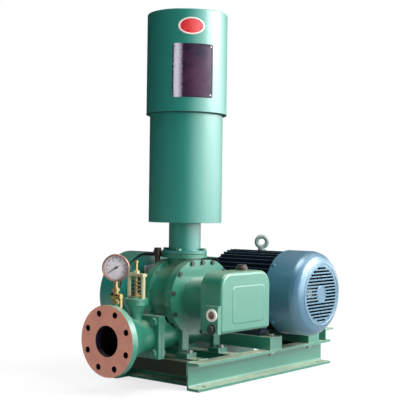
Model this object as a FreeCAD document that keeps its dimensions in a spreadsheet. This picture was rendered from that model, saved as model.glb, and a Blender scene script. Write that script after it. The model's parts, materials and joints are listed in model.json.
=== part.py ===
import FreeCAD, Part
import math
import os

V = FreeCAD.Vector
doc = FreeCAD.newDocument("RootsBlower")

# Driving dimensions in millimetres, degrees for angles.
driving = {
    "frameLength": 700, "frameWidth": 362, "railHeight": 80, "railFlange": 43,
    "railWeb": 5, "railThickness": 8, "anchorSpacingX": 600, "anchorInset": 22, "anchorHole": 14,
    "crossHeight": 40, "crossFlange": 35, "beamWidth": 63, "beamHeight": 40,
    "blowerX": -205, "shaftHeight": 252, "rotorSpacing": 96, "rotorGap": 0.2, "chamberGap": 0.2,
    "shaftDiameter": 30, "casingFront": -55, "casingBack": 33, "casingRadius": 98,
    "plateRadius": 110, "plateThickness": 16, "casingHalf": 30, "footOffset": 73.5, "footHeight": 14,
    "neckFront": -164, "neckRadius": 60, "neckHalf": 32, "caseFront": -238, "gearRoom": 12,
    "caseBottom": 165, "caseTop": 337, "caseWall": 8, "coverBack": 81, "gearTeeth": 32,
    "gearWidth": 28, "inletBore": 60, "inletSeat": 378.5, "gasketThickness": 1.5, "neckPipe": 97,
    "neckTop": 474, "flangeThickness": 10, "shellDiameter": 222, "shellTop": 862, "sheetThickness": 3,
    "hoodClearance": 8, "hoodBottom": 799.5, "hoodTop": 1104, "dischargeY": -11, "dischargeZ": 147,
    "dischargeFace": -546, "dischargeFlange": 200, "dischargePitch": 160, "dischargeHole": 18,
    "dischargeBore": 87, "squareSide": 122, "jointX": -385, "valveX": -430, "valveSeat": 252,
    "gaugeX": -512, "gaugeHeight": 349, "gaugeDiameter": 75, "gaugeAngle": -50.5,
    "motorX": 137, "motorShoulder": 104, "motorShaft": 38, "motorFace": -276, "cowlRadius": 134,
    "finRadius": 129, "barrelRadius": 112, "motorFootX": 108, "motorFootFront": -110, "motorFootBack": 30,
    "pulleyFront": 121, "pulleyWidth": 50, "blowerPulley": 200, "motorPulley": 140,
    "guardFront": 107, "guardBack": 184, "guardRadius": 130, "guardSmallRadius": 97, "guardSheet": 2.5,
    "plateBolt": 8, "coverBolt": 6, "footBolt": 12, "jointBolt": 14, "inletBolt": 10,
    "boltGap": 0.3, "runningFit": 0.05,
}
sheet = doc.addObject("Spreadsheet::Sheet", "Sizes")
for row, (alias, value) in enumerate(driving.items(), start=1):
    sheet.set(f"A{row}", alias)
    sheet.set(f"B{row}", str(value))
    sheet.setAlias(f"B{row}", alias)
doc.recompute()


def size(alias):
    return float(sheet.get(alias))


shaftZ = size("shaftHeight")
blowerX = size("blowerX")
halfSpacing = size("rotorSpacing") / 2
driveX = blowerX - halfSpacing
drivenX = blowerX + halfSpacing
motorX = size("motorX")
casingFront = size("casingFront")
casingBack = size("casingBack")
plate = size("plateThickness")
shaftRadius = size("shaftDiameter") / 2
gap = size("boltGap")
plateHole = size("plateBolt") / 2 + gap
coverHole = size("coverBolt") / 2 + gap
footHole = size("footBolt") / 2 + gap
jointHole = size("jointBolt") / 2 + gap
inletHole = size("inletBolt") / 2 + gap
nodes = {}


def keep(name, item):
    item.Label = name
    nodes[name] = item
    return item


def feature(name, shape):
    item = doc.addObject("Part::Feature", name)
    item.Shape = shape
    return item


def line(a, b):
    return Part.LineSegment(V(a[0], a[1], 0), V(b[0], b[1], 0))


def arc(a, middle, b):
    return Part.Arc(V(a[0], a[1], 0), V(middle[0], middle[1], 0), V(b[0], b[1], 0))


def polygon(*points):
    return [line(a, b) for a, b in zip(points, points[1:] + points[:1])]


def circle(x, y, radius):
    return [Part.Circle(V(x, y, 0), V(0, 0, 1), radius)]


def rectangle(x0, y0, x1, y1):
    return polygon((x0, y0), (x1, y0), (x1, y1), (x0, y1))


def polar(x, y, radius, degrees):
    angle = math.radians(degrees)
    return (x + radius * math.cos(angle), y + radius * math.sin(angle))


def roundedRectangle(x0, y0, x1, y1, low, high):
    corners = [(x1 - low, y0 + low, low, -90), (x1 - high, y1 - high, high, 0),
               (x0 + high, y1 - high, high, 90), (x0 + low, y0 + low, low, 180)]
    curves = []
    ends = []
    for cx, cy, radius, start in corners:
        points = [polar(cx, cy, radius, start + step) for step in (0, 45, 90)]
        ends.append(points)
        curves.append(arc(*points))
    for here, after in zip(ends, ends[1:] + ends[:1]):
        curves.append(line(here[2], after[0]))
    return curves


# Outline round two circles on one level, joined by their tangents.
def oval(x0, r0, x1, r1, z):
    lean = math.degrees(math.asin((r0 - r1) / (x1 - x0)))
    top, bottom = 90 - lean, 270 + lean
    a, b = polar(x0, z, r0, top), polar(x0, z, r0, bottom)
    c, d = polar(x1, z, r1, bottom), polar(x1, z, r1, top)
    return [arc(a, (x0 - r0, z), b), line(b, c), arc(c, (x1 + r1, z), d), line(d, a)]


def blowerOval(half, radius):
    return oval(blowerX - half, radius, blowerX + half, radius, shaftZ)


# Sketch plane, direction of its normal along the axis, and revolving axis for each main axis.
planes = {"X": ("YZ_Plane", 1), "Y": ("XZ_Plane", -1), "Z": ("XY_Plane", 1)}


def sketchOn(body, name, role, curves, start=None, sign=1):
    sketch = body.newObject("Sketcher::SketchObject", name)
    plane = [item for item in body.Origin.OriginFeatures if item.Role == role][0]
    sketch.AttachmentSupport = [(plane, "")]
    sketch.MapMode = "FlatFace"
    sketch.addGeometry(curves, False)
    if start is not None:
        sketch.setExpression("AttachmentOffset.Base.z", f"{sign} * ({start})")
    return sketch


def extruded(name, axis, curves, start, length):
    body = doc.addObject("PartDesign::Body", name)
    role, sign = planes[axis]
    pad = body.newObject("PartDesign::Pad", name + "Pad")
    pad.Profile = sketchOn(body, name + "Outline", role, curves, start, sign)
    pad.setExpression("Length", length)
    pad.Reversed = sign < 0
    return body


def pocketed(body, name, axis, curves, start, length):
    role, sign = planes[axis]
    pocket = body.newObject("PartDesign::Pocket", name)
    pocket.Profile = sketchOn(body, name + "Outline", role, curves, start, sign)
    pocket.setExpression("Length", length)
    pocket.Reversed = sign > 0
    return body


def turned(name, axis, curves, x=None, y=None, z=None):
    body = doc.addObject("PartDesign::Body", name)
    role = "XZ_Plane" if axis == "Z" else "XY_Plane"
    turn = body.newObject("PartDesign::Revolution", name + "Turn")
    sketch = sketchOn(body, name + "Outline", role, curves)
    turn.Profile = sketch
    turn.ReferenceAxis = (sketch, ["H_Axis" if axis == "X" else "V_Axis"])
    turn.Angle = 360
    for letter, expression in (("x", x), ("y", y), ("z", z)):
        if expression:
            body.setExpression("Placement.Base." + letter, expression)
    return body


def cut(name, base, tool):
    item = doc.addObject("Part::Cut", name)
    item.Base = base
    item.Tool = tool
    item.Refine = True
    return item


def fused(name, *items):
    item = doc.addObject("Part::MultiFuse", name)
    item.Shapes = list(items)
    item.Refine = True
    return item


def grouped(name, *items):
    item = doc.addObject("Part::Compound", name)
    item.Links = list(items)
    return item


def rod(at, along, radius, length):
    return Part.makeCylinder(radius, length, V(*at), V(*along))


def block(x0, x1, y0, y1, z0, z1):
    return Part.makeBox(x1 - x0, y1 - y0, z1 - z0, V(x0, y0, z0))


def join(shapes):
    return shapes[0].multiFuse(shapes[1:]).removeSplitter() if len(shapes) > 1 else shapes[0]


def hexagon(at, along, across, height):
    prism = Part.Face(Part.makePolygon([V(*polar(0, 0, across / math.sqrt(3), 60 * k)) for k in range(7)]))
    prism = prism.extrude(V(0, 0, height))
    prism.Placement = FreeCAD.Placement(V(*at), FreeCAD.Rotation(V(0, 0, 1), V(*along)))
    return prism


# Hex bolt seated at a point; an optional nut sits at that distance along the shank.
def bolt(at, into, diameter, length, across, head, nut=None):
    out = [-part for part in into]
    pieces = [hexagon(at, out, across, head), rod(at, into, diameter / 2, length)]
    if nut is not None:
        seat = [a + nut * b for a, b in zip(at, into)]
        pieces.append(hexagon(seat, into, across, head))
    return join(pieces)


# Curved plate on an upright cylinder, its middle turned from the front towards the left.
def sector(radius, sheetSize, z0, z1, middle, span):
    tube = Part.makeCylinder(radius + sheetSize, z1 - z0, V(0, 0, z0), V(0, 0, 1), span)
    tube = tube.cut(Part.makeCylinder(radius, z1 - z0, V(0, 0, z0)))
    tube.Placement = FreeCAD.Placement(V(blowerX, 0, 0), FreeCAD.Rotation(V(0, 0, 1), 270 - middle - span / 2))
    return tube


# Base frame: two rolled channels with their flanges outwards.
def railOutline(side):
    outer = side * size("frameWidth") / 2
    back = outer - side * size("railFlange")
    face = back + side * size("railWeb")
    thick = size("railThickness")
    high = size("railHeight")
    fillet = 7
    bend = fillet * (1 - math.sqrt(0.5))
    low = (face + side * fillet, thick)
    lowEnd = (face, thick + fillet)
    top = (face, high - thick - fillet)
    topEnd = (face + side * fillet, high - thick)
    return [line((back, 0), (outer, 0)), line((outer, 0), (outer, thick)), line((outer, thick), low),
            arc(low, (face + side * bend, thick + bend), lowEnd), line(lowEnd, top),
            arc(top, (face + side * bend, high - thick - bend), topEnd), line(topEnd, (outer, high - thick)),
            line((outer, high - thick), (outer, high)), line((outer, high), (back, high)),
            line((back, high), (back, 0))]


beamCentres = (motorX - size("motorFootX"), motorX + size("motorFootX"))
beamBoltY = size("frameWidth") / 2 - size("anchorInset")
for name, side in (("front_rail", -1), ("rear_rail", 1)):
    rail = extruded(name + "_channel", "X", railOutline(side), "-Sizes.frameLength / 2", "Sizes.frameLength")
    doc.recompute()
    y = side * (size("frameWidth") / 2 - size("anchorInset"))
    holes = []
    for x in (-size("anchorSpacingX") / 2, size("anchorSpacingX") / 2):
        holes += circle(x, y, size("anchorHole") / 2)
    pocketed(rail, name + "_anchor_holes", "Z", holes, "0", "Sizes.railThickness + 1")
    holes = []
    for x in beamCentres:
        holes += circle(x, side * beamBoltY, footHole)
    pocketed(rail, name + "_beam_holes", "Z", holes, "Sizes.railHeight - Sizes.railThickness - 1", "20")
    keep(name, rail)

webGap = size("frameWidth") / 2 - size("railFlange")


def channelOutline(x, side, width, z0, z1, web, thick):
    inner = x + side * web
    tip = x + side * width
    return polygon((x, z0), (tip, z0), (tip, z0 + thick), (inner, z0 + thick), (inner, z1 - thick),
                   (tip, z1 - thick), (tip, z1), (x, z1))


crossStart = "Sizes.railFlange - Sizes.frameWidth / 2"
crossLength = "Sizes.frameWidth - 2 * Sizes.railFlange"
halfLength = size("frameLength") / 2
railTop = size("railHeight")
crossMembers = []
for name, x, side in (("left_cross", -halfLength, 1), ("right_cross", halfLength, -1)):
    outline = channelOutline(x, side, size("crossFlange"), railTop - size("crossHeight"), railTop, 5, 6)
    crossMembers.append(extruded(name, "Y", outline, crossStart, crossLength))
keep("end_cross_members", grouped("end_cross_members", *crossMembers))

footX = [blowerX - size("footOffset"), blowerX + size("footOffset")]
footBolts = [(x, y) for x in footX for y in (casingFront - 30, casingBack + 30)]
beamFlange = 8
blowerBeams = []
for name, x, side in (("left_beam", footX[0] + 21.5, -1), ("right_beam", footX[1] - 21.5, 1)):
    beam = extruded(name, "Y", channelOutline(x, side, 43, 0, railTop, 5, beamFlange), crossStart, crossLength)
    doc.recompute()
    holes = []
    for fx, fy in footBolts:
        if abs(fx - x) < 43:
            holes += circle(fx, fy, footHole)
    pocketed(beam, name + "_holes", "Z", holes, f"Sizes.railHeight - {beamFlange} - 1", "20")
    blowerBeams.append(beam)
keep("blower_beams", grouped("blower_beams", *blowerBeams))

beamTop = railTop + size("beamHeight")
motorFeet = [(x, y) for x in beamCentres for y in (size("motorFootFront"), size("motorFootBack"))]
motorBeams = []
for k, x in enumerate(beamCentres):
    half = size("beamWidth") / 2
    outline = polygon((x - half, railTop), (x - half + 5, railTop), (x - half + 5, beamTop - 5),
                      (x + half - 5, beamTop - 5), (x + half - 5, railTop), (x + half, railTop),
                      (x + half, beamTop), (x - half, beamTop))
    beam = extruded(f"motor_beam_{k}", "Y", outline, "-Sizes.frameWidth / 2", "Sizes.frameWidth")
    caps = [block(x - half, x + half, y, y + 5, railTop, beamTop)
            for y in (-size("frameWidth") / 2, size("frameWidth") / 2 - 5)]
    capped = fused(f"motor_beam_capped_{k}", beam, feature(f"beam_cap_front_{k}", caps[0]),
                   feature(f"beam_cap_back_{k}", caps[1]))
    holes = [rod((x, y, beamTop - 8), (0, 0, 1), footHole, 12)
             for y in (size("motorFootFront"), size("motorFootBack"), -beamBoltY, beamBoltY)]
    drills = feature(f"beam_holes_{k}", Part.makeCompound(holes))
    motorBeams.append(cut(f"motor_beam_drilled_{k}", capped, drills))
keep("motor_beams", grouped("motor_beams", *motorBeams))

# Angle across the motor end, with two screws that push the motor beams.
screwY = size("frameWidth") / 2 - 31
screwZ = railTop + 20
legX = halfLength - 34
bracket = extruded("tension_angle", "Y", polygon(
    (legX, railTop), (legX + 5, railTop), (legX + 5, railTop + 33), (legX + 50, railTop + 33),
    (legX + 50, railTop + 38), (legX, railTop + 38)), "-Sizes.frameWidth / 2", "Sizes.frameWidth")
screwHoles = [rod((legX - 5, y, screwZ), (1, 0, 0), footHole, 20) for y in (-screwY, screwY)]
keep("tension_bracket", cut("tension_bracket", bracket, feature("tension_holes", Part.makeCompound(screwHoles))))
pushX = beamCentres[1] + size("beamWidth") / 2
screws = [join([bolt((legX + 32, y, screwZ), (-1, 0, 0), size("footBolt"), legX + 32 - pushX, 18, 8),
                hexagon((legX + 5, y, screwZ), (1, 0, 0), 18, 8)]) for y in (-screwY, screwY)]
keep("tension_screws", feature("tension_screws", Part.makeCompound(screws)))

# Rotor chamber sizes follow the three-lobe profile.
pitchRadius = halfSpacing
rolling = pitchRadius / 6
tipRadius = pitchRadius + 2 * rolling - size("rotorGap")
chamberRadius = tipRadius + size("chamberGap") + 0.2
plateBolts = [polar(blowerX - 30, shaftZ, 103, a) for a in (100, 135, 170, 205)]
plateBolts += [(2 * blowerX - x, z) for x, z in plateBolts]
plateBolts += [(blowerX, shaftZ + 103), (blowerX, shaftZ - 103)]
flangeFace = [(size("dischargeY") + a * 45, size("dischargeZ") + b * 45) for a in (-1, 1) for b in (-1, 1)]
inletBolts = [polar(blowerX, 0, 59, a) for a in (22, 112, 202, 292)]
seat = size("inletSeat")

# Casting: barrel with two end flanges, inlet block on top, outlet duct low at the side.
ductY = size("dischargeY")
ductZ = size("dischargeZ")
jointX = size("jointX")
squareHalf = size("squareSide") / 2
casingLength = "Sizes.casingBack - Sizes.casingFront"
barrel = extruded("casing_barrel", "Y", blowerOval(size("casingHalf"), size("casingRadius")),
                  "Sizes.casingFront", casingLength)
frontFlange = extruded("casing_front_flange", "Y", blowerOval(size("casingHalf"), size("plateRadius")),
                       "Sizes.casingFront", "12")
backFlange = extruded("casing_back_flange", "Y", blowerOval(size("casingHalf"), size("plateRadius")),
                      "Sizes.casingBack - 12", "12")
blockTop = shaftZ + size("plateRadius") + 1
inletBlock = feature("inlet_block", join([
    rod((blowerX, 0, shaftZ + 48), (0, 0, 1), 52, blockTop - shaftZ - 48).common(
        block(blowerX - 60, blowerX + 60, casingFront, casingBack, shaftZ + 38, blockTop)),
    rod((blowerX, 0, blockTop), (0, 0, 1), 52, seat - blockTop), rod((blowerX, 0, seat - 11), (0, 0, 1), 68, 11)]))
ductEnd = blowerX + 22
duct = feature("outlet_duct", join([
    rod((jointX, ductY, ductZ), (1, 0, 0), 44, ductEnd - jointX),
    Part.makeCone(44, 26, 24, V(ductEnd, ductY, ductZ), V(1, 0, 0)),
    block(jointX, jointX + 12, ductY - squareHalf, ductY + squareHalf, ductZ - squareHalf, ductZ + squareHalf)]))
casingSolid = fused("casing_solid", barrel, frontFlange, backFlange, inletBlock, duct)
casingLong = casingBack - casingFront
casingBores = [rod((x, casingFront - 1, shaftZ), (0, 1, 0), chamberRadius, casingLong + 2)
               for x in (driveX, drivenX)]
casingBores += [
    rod((blowerX, 0, shaftZ + 30), (0, 0, 1), size("inletBore") / 2, seat - shaftZ),
    join([rod((jointX - 1, ductY, ductZ), (1, 0, 0), 38, ductEnd - jointX + 1),
          rod((blowerX - 8, ductY, ductZ), (0, 0, 1), 29, shaftZ - 30 - ductZ)])]
casingBores += [rod((x, y, z), (0, 1, 0), plateHole, 13)
                for x, z in plateBolts for y in (casingFront - 1, casingBack - 12)]
casingBores += [rod((jointX - 1, y, z), (1, 0, 0), jointHole, 14) for y, z in flangeFace]
casingBores += [rod((x, y, seat - 10), (0, 0, 1), inletHole, 11) for x, y in inletBolts]
keep("casing", cut("casing", casingSolid, feature("casing_bores", Part.makeCompound(casingBores))))


def endPlateBase(name, front, plateStart):
    plateBody = extruded(name + "_plate", "Y", blowerOval(size("casingHalf"), size("plateRadius")),
                         plateStart, "Sizes.plateThickness")
    legs = []
    outer = front - 24 if front < casingFront - plate / 2 - 1 else front
    for x in footX:
        legs.append(block(x - 14, x + 14, front, front + plate, railTop, shaftZ - 60))
        legs.append(block(x - 21.5, x + 21.5, outer, outer + plate + 24, railTop, railTop + size("footHeight")))
    return plateBody, legs


# Gear-side plate carries the bearing bosses, the oval neck and the flange of the gear case.
gearPlateFront = casingFront - plate
neckFront = size("neckFront")
plateBody, legs = endPlateBase("gear_end", gearPlateFront, "Sizes.casingFront - Sizes.plateThickness")
neck = extruded("gear_neck", "Y", blowerOval(size("neckHalf"), size("neckRadius")),
                "Sizes.neckFront", "Sizes.casingFront - Sizes.plateThickness - Sizes.neckFront + 2")
gearModule = size("rotorSpacing") / size("gearTeeth")
gearTip = (size("gearTeeth") + 2) * gearModule / 2
caseHalf = halfSpacing + gearTip + size("gearRoom") + size("caseWall")
caseLeft = blowerX - caseHalf
caseRight = blowerX + caseHalf
caseBottom = size("caseBottom")
caseTop = size("caseTop")
caseOutline = roundedRectangle(caseLeft, caseBottom, caseRight, caseTop, 12, 46)
neckFlange = extruded("gear_neck_flange", "Y", caseOutline, "Sizes.neckFront - 10", "10")
caseBolts = [(caseLeft + 30, caseBottom + 14), (caseRight - 30, caseBottom + 14), (blowerX, caseBottom + 14),
             (caseLeft + 24, caseTop - 24), (caseRight - 24, caseTop - 24), (blowerX, caseTop - 14)]
hollow = extruded("neck_hollow", "Y", blowerOval(size("neckHalf"), size("neckRadius") - 9),
                  "Sizes.neckFront - 11", "Sizes.casingFront - Sizes.plateThickness - Sizes.neckFront + 11")
bosses = [rod((x, gearPlateFront - 20, shaftZ), (0, 1, 0), 40, 22) for x in (driveX, drivenX)]
doc.recompute()
gearPlateSolid = join([plateBody.Shape, neck.Shape, neckFlange.Shape] + legs).cut(hollow.Shape)
gearPlateSolid = join([gearPlateSolid] + [b.common(neck.Shape) for b in bosses])
bearingOuter = 31
gearPlateBores = []
for x in (driveX, drivenX):
    gearPlateBores.append(rod((x, gearPlateFront - 21, shaftZ), (0, 1, 0), shaftRadius + 1, 60))
    gearPlateBores.append(rod((x, gearPlateFront - 21, shaftZ), (0, 1, 0), bearingOuter, 17))
gearPlateBores += [rod((x, gearPlateFront - 1, z), (0, 1, 0), plateHole, plate + 2) for x, z in plateBolts]
gearPlateBores += [rod((x, neckFront - 11, z), (0, 1, 0), plateHole, 12) for x, z in caseBolts]
gearPlateBores += [rod((x, y, railTop - 1), (0, 0, 1), footHole, 20) for x, y in footBolts[::2]]
gearPlateSolid = gearPlateSolid.cut(Part.makeCompound(gearPlateBores))
keep("gear_end_plate", feature("gear_end_plate", gearPlateSolid))

plateBody, legs = endPlateBase("drive_end", casingBack, "Sizes.casingBack")
bosses = [rod((x, casingBack + plate - 2, shaftZ), (0, 1, 0), 40, 22) for x in (driveX, drivenX)]
doc.recompute()
drivePlateSolid = join([plateBody.Shape] + legs + bosses)
drivePlateBores = []
for x in (driveX, drivenX):
    drivePlateBores.append(rod((x, casingBack - 1, shaftZ), (0, 1, 0), shaftRadius + 1, 60))
    drivePlateBores.append(rod((x, casingBack + plate + 4, shaftZ), (0, 1, 0), bearingOuter, 20))
drivePlateBores += [rod((x, casingBack - 1, z), (0, 1, 0), plateHole, plate + 2) for x, z in plateBolts]
drivePlateBores += [rod((x, y, railTop - 1), (0, 0, 1), footHole, 20) for x, y in footBolts[1::2]]
coverBolts = [polar(driveX, shaftZ, 48, a) for a in (120, 180, 240)]
coverBolts += [(2 * blowerX - x, z) for x, z in coverBolts]
coverBack = size("coverBack")
drivePlateBores += [rod((x, casingBack + plate - 12, z), (0, 1, 0), coverHole, 13) for x, z in coverBolts]
drivePlateSolid = drivePlateSolid.cut(Part.makeCompound(drivePlateBores))
keep("drive_end_plate", feature("drive_end_plate", drivePlateSolid))

# Gear case: rounded box, open towards the neck.
caseBody = extruded("gear_case_box", "Y", caseOutline, "Sizes.caseFront",
                    "Sizes.neckFront - 10 - Sizes.caseFront")
doc.recompute()
caseShape = caseBody.Shape
frontEdges = [e for e in caseShape.Edges if abs(e.BoundBox.YMax - size("caseFront")) < 0.01]
caseShape = caseShape.makeFillet(10, frontEdges)
wall = size("caseWall")
caseDepth = neckFront - 10 - size("caseFront")
inner = roundedRectangle(caseLeft + wall, caseBottom + wall, caseRight - wall, caseTop - wall, 6, 38)
innerWire = Part.Wire(Part.__sortEdges__([c.toShape() for c in inner]))
innerSolid = Part.Face(innerWire).extrude(V(0, 0, caseDepth - wall + 1))
innerSolid.Placement = FreeCAD.Placement(V(0, neckFront - 9, 0), FreeCAD.Rotation(V(1, 0, 0), 90))
caseBosses = [rod((x, neckFront - 10 - 20, z), (0, 1, 0), 10, 20).common(caseBody.Shape) for x, z in caseBolts]
lugOut = 12
portX = caseLeft - lugOut
sightY, sightZ = size("caseFront") + 21, caseBottom + 54
drainY, drainZ = size("caseFront") + 22, caseBottom + 15
lug = block(portX, caseLeft + 2, size("caseFront") + 2, neckFront - 24, caseBottom + 1, caseBottom + 80)
lug = lug.makeFillet(8, [e for e in lug.Edges if e.BoundBox.XMax < portX + 0.1 and e.BoundBox.ZLength < 1])
portBosses = [lug, rod((portX - 2, sightY, sightZ), (1, 0, 0), 19, 8),
              rod((portX - 2, drainY, drainZ), (1, 0, 0), 16, 8)]
capX, capY = blowerX + 36, size("caseFront") + 46
caseHoles = [rod((portX - 3, sightY, sightZ), (1, 0, 0), 12, 30),
             rod((portX - 3, drainY, drainZ), (1, 0, 0), 9, 30),
             rod((capX, capY, caseTop - 20), (0, 0, 1), 9, 30)]
caseHoles += [rod((x, neckFront - 31, z), (0, 1, 0), plateHole, 25) for x, z in caseBolts]
caseShape = join([caseShape.cut(innerSolid)] + caseBosses + portBosses).cut(Part.makeCompound(caseHoles))
keep("gear_case", feature("gear_case", caseShape))

# Drive-end cover with the shaft boss.
coverStart = "Sizes.casingBack + Sizes.plateThickness"
coverDepth = "Sizes.coverBack - Sizes.casingBack - Sizes.plateThickness"
coverBody = extruded("drive_cover_shell", "Y", blowerOval(halfSpacing, 54), coverStart, coverDepth)
doc.recompute()
coverShape = coverBody.Shape.fuse(rod((driveX, coverBack - 2, shaftZ), (0, 1, 0), 34, 16))
pocket = extruded("drive_cover_hollow", "Y", blowerOval(halfSpacing, 42), coverStart + " - 1", coverDepth + " - 6")
doc.recompute()
riserX, riserY = blowerX - 50, casingBack + plate + 16
coverHoles = [rod((driveX, coverBack - 10, shaftZ), (0, 1, 0), shaftRadius + 1, 40),
              rod((driveX, coverBack + 4, shaftZ), (0, 1, 0), 25, 11),
              rod((riserX, riserY, shaftZ + 40), (0, 0, 1), 8, 30)]
coverHoles += [rod((x, casingBack + plate - 1, z), (0, 1, 0), coverHole, 60) for x, z in coverBolts]
coverShape = coverShape.cut(Part.makeCompound([pocket.Shape])).cut(Part.makeCompound(coverHoles))
keep("drive_end_cover", feature("drive_end_cover", coverShape.removeSplitter()))

coverFasteners = []
for x, z in plateBolts:
    coverFasteners.append(bolt((x, gearPlateFront, z), (0, 1, 0), size("plateBolt"), plate + 11, 13, 5.5))
    coverFasteners.append(bolt((x, casingBack + plate, z), (0, -1, 0), size("plateBolt"), plate + 11, 13, 5.5))
for x, z in caseBolts:
    coverFasteners.append(bolt((x, neckFront, z), (0, -1, 0), size("plateBolt"), 28, 13, 5.5))
for x, z in coverBolts:
    coverFasteners.append(bolt((x, coverBack, z), (0, -1, 0), size("coverBolt"),
                               coverBack - casingBack - plate + 10, 10, 4))
keep("cover_bolts", feature("cover_bolts", Part.makeCompound(coverFasteners)))


def ring(x, y, z, outer, inner, width):
    return rod((x, y, z), (0, 1, 0), outer, width).cut(rod((x, y - 1, z), (0, 1, 0), inner, width + 2))


fit = size("runningFit")
bearings = []
for x in (driveX, drivenX):
    bearings.append(ring(x, gearPlateFront - 20, shaftZ, bearingOuter, shaftRadius + fit, 16))
    bearings.append(ring(x, casingBack + plate + 4, shaftZ, bearingOuter, shaftRadius + fit, 16))
keep("rotor_bearings", feature("rotor_bearings", Part.makeCompound(bearings)))
keep("shaft_seal", feature("shaft_seal", ring(driveX, coverBack + 4, shaftZ, 25, shaftRadius + fit, 9)))

sightRing = rod((portX - 7, sightY, sightZ), (1, 0, 0), 18, 5).cut(
    rod((portX - 8, sightY, sightZ), (1, 0, 0), 11, 7))
sightRing = sightRing.fuse(rod((portX - 3, sightY, sightZ), (1, 0, 0), 12, 16).cut(
    rod((portX - 4, sightY, sightZ), (1, 0, 0), 9, 18))).removeSplitter()
keep("sight_glass_ring", feature("sight_glass_ring", sightRing))
keep("sight_glass", feature("sight_glass", rod((portX - 6, sightY, sightZ), (1, 0, 0), 11, 3)))
drainPlug = join([hexagon((portX - 5, drainY, drainZ), (-1, 0, 0), 19, 8),
                  rod((portX - 5, drainY, drainZ), (1, 0, 0), 15, 3),
                  rod((portX - 5, drainY, drainZ), (1, 0, 0), 9, 20)])
keep("drain_plug", feature("drain_plug", drainPlug))
riserTop = shaftZ + 120
driveCap = join([rod((riserX, riserY, shaftZ + 44), (0, 0, 1), 8, riserTop - shaftZ - 44),
                 rod((riserX, riserY, riserTop), (0, 0, 1), 13.5, 16),
                 rod((riserX, riserY, riserTop + 16), (0, 0, 1), 11, 8)])
gearCap = join([rod((capX, capY, caseTop - 12), (0, 0, 1), 9, 14), rod((capX, capY, caseTop), (0, 0, 1), 18, 10),
                rod((capX, capY, caseTop + 10), (0, 0, 1), 14, 6)])
keep("oil_caps", feature("oil_caps", Part.makeCompound([driveCap, gearCap])))

# Each foot bolt passes its foot and the flange under it; the nut sits below.
footBolt = size("footBolt")
mountingBolts = []
for x, y in footBolts:
    mountingBolts.append(bolt((x, y, railTop + size("footHeight")), (0, 0, -1), footBolt,
                              size("footHeight") + beamFlange + 12, 18, 8, size("footHeight") + beamFlange))
motorFoot = 14
beamSheet = 5
motorFootTop = beamTop + motorFoot
for x, y in motorFeet:
    mountingBolts.append(bolt((x, y, motorFootTop), (0, 0, -1), footBolt, motorFoot + beamSheet + 13, 18, 8,
                              motorFoot + beamSheet))
beamStack = size("beamHeight") + size("railThickness")
for x in beamCentres:
    for y in (-beamBoltY, beamBoltY):
        mountingBolts.append(bolt((x, y, beamTop), (0, 0, -1), footBolt, beamStack + 12, 18, 8, beamStack))
keep("mounting_bolts", feature("mounting_bolts", Part.makeCompound(mountingBolts)))


# Three-lobe cycloidal profile, set in along its normal by the rotor gap.
def lobeCurve(centre, start, outward):
    steps = 10
    sign = 1 if outward else -1
    span = pitchRadius + sign * rolling
    points = []
    for k in range(steps + 1):
        a = math.radians(60 * k / steps)
        turns = span / rolling * a
        points.append((span * math.cos(a) - sign * rolling * math.cos(turns),
                       span * math.sin(a) - rolling * math.sin(turns)))
    shift = size("rotorGap")
    shifted = []
    for k, (x, y) in enumerate(points):
        before = points[max(k - 1, 0)]
        after = points[min(k + 1, steps)]
        tx, ty = after[0] - before[0], after[1] - before[1]
        if k in (0, steps):
            angle = math.radians(60 * k / steps)
            tx, ty = math.cos(angle), math.sin(angle)
            if (k == 0) != outward:
                tx, ty = -tx, -ty
        length = math.hypot(tx, ty)
        shifted.append((x - ty / length * shift, y + tx / length * shift))
    c, s = math.cos(math.radians(start)), math.sin(math.radians(start))
    curve = Part.BSplineCurve()
    curve.interpolate([V(centre + x * c - y * s, shaftZ + x * s + y * c, 0) for x, y in shifted])
    return curve


def rotorOutline(centre):
    curves = []
    for lobe in range(3):
        curves.append(lobeCurve(centre, 120 * lobe - 30, True))
        curves.append(lobeCurve(centre, 120 * lobe + 30, False))
    return curves


def rotor(name, centre, back):
    lobes = extruded(name + "_lobes", "Y", rotorOutline(centre), "Sizes.casingFront + 0.3",
                     "Sizes.casingBack - Sizes.casingFront - 0.6")
    shaft = doc.addObject("Part::Cylinder", name + "_shaft")
    front = size("caseFront") + wall + 6
    shaft.Placement = FreeCAD.Placement(V(centre, front, shaftZ), FreeCAD.Rotation(V(1, 0, 0), -90))
    shaft.setExpression("Radius", "Sizes.shaftDiameter / 2")
    shaft.Height = back - front
    return keep(name, fused(name, lobes, shaft))


pulleyFront = size("pulleyFront")
pulleyWidth = size("pulleyWidth")
rotor("drive_rotor", driveX, pulleyFront + pulleyWidth)
rotor("driven_rotor", drivenX, casingBack + plate + 22)


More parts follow.
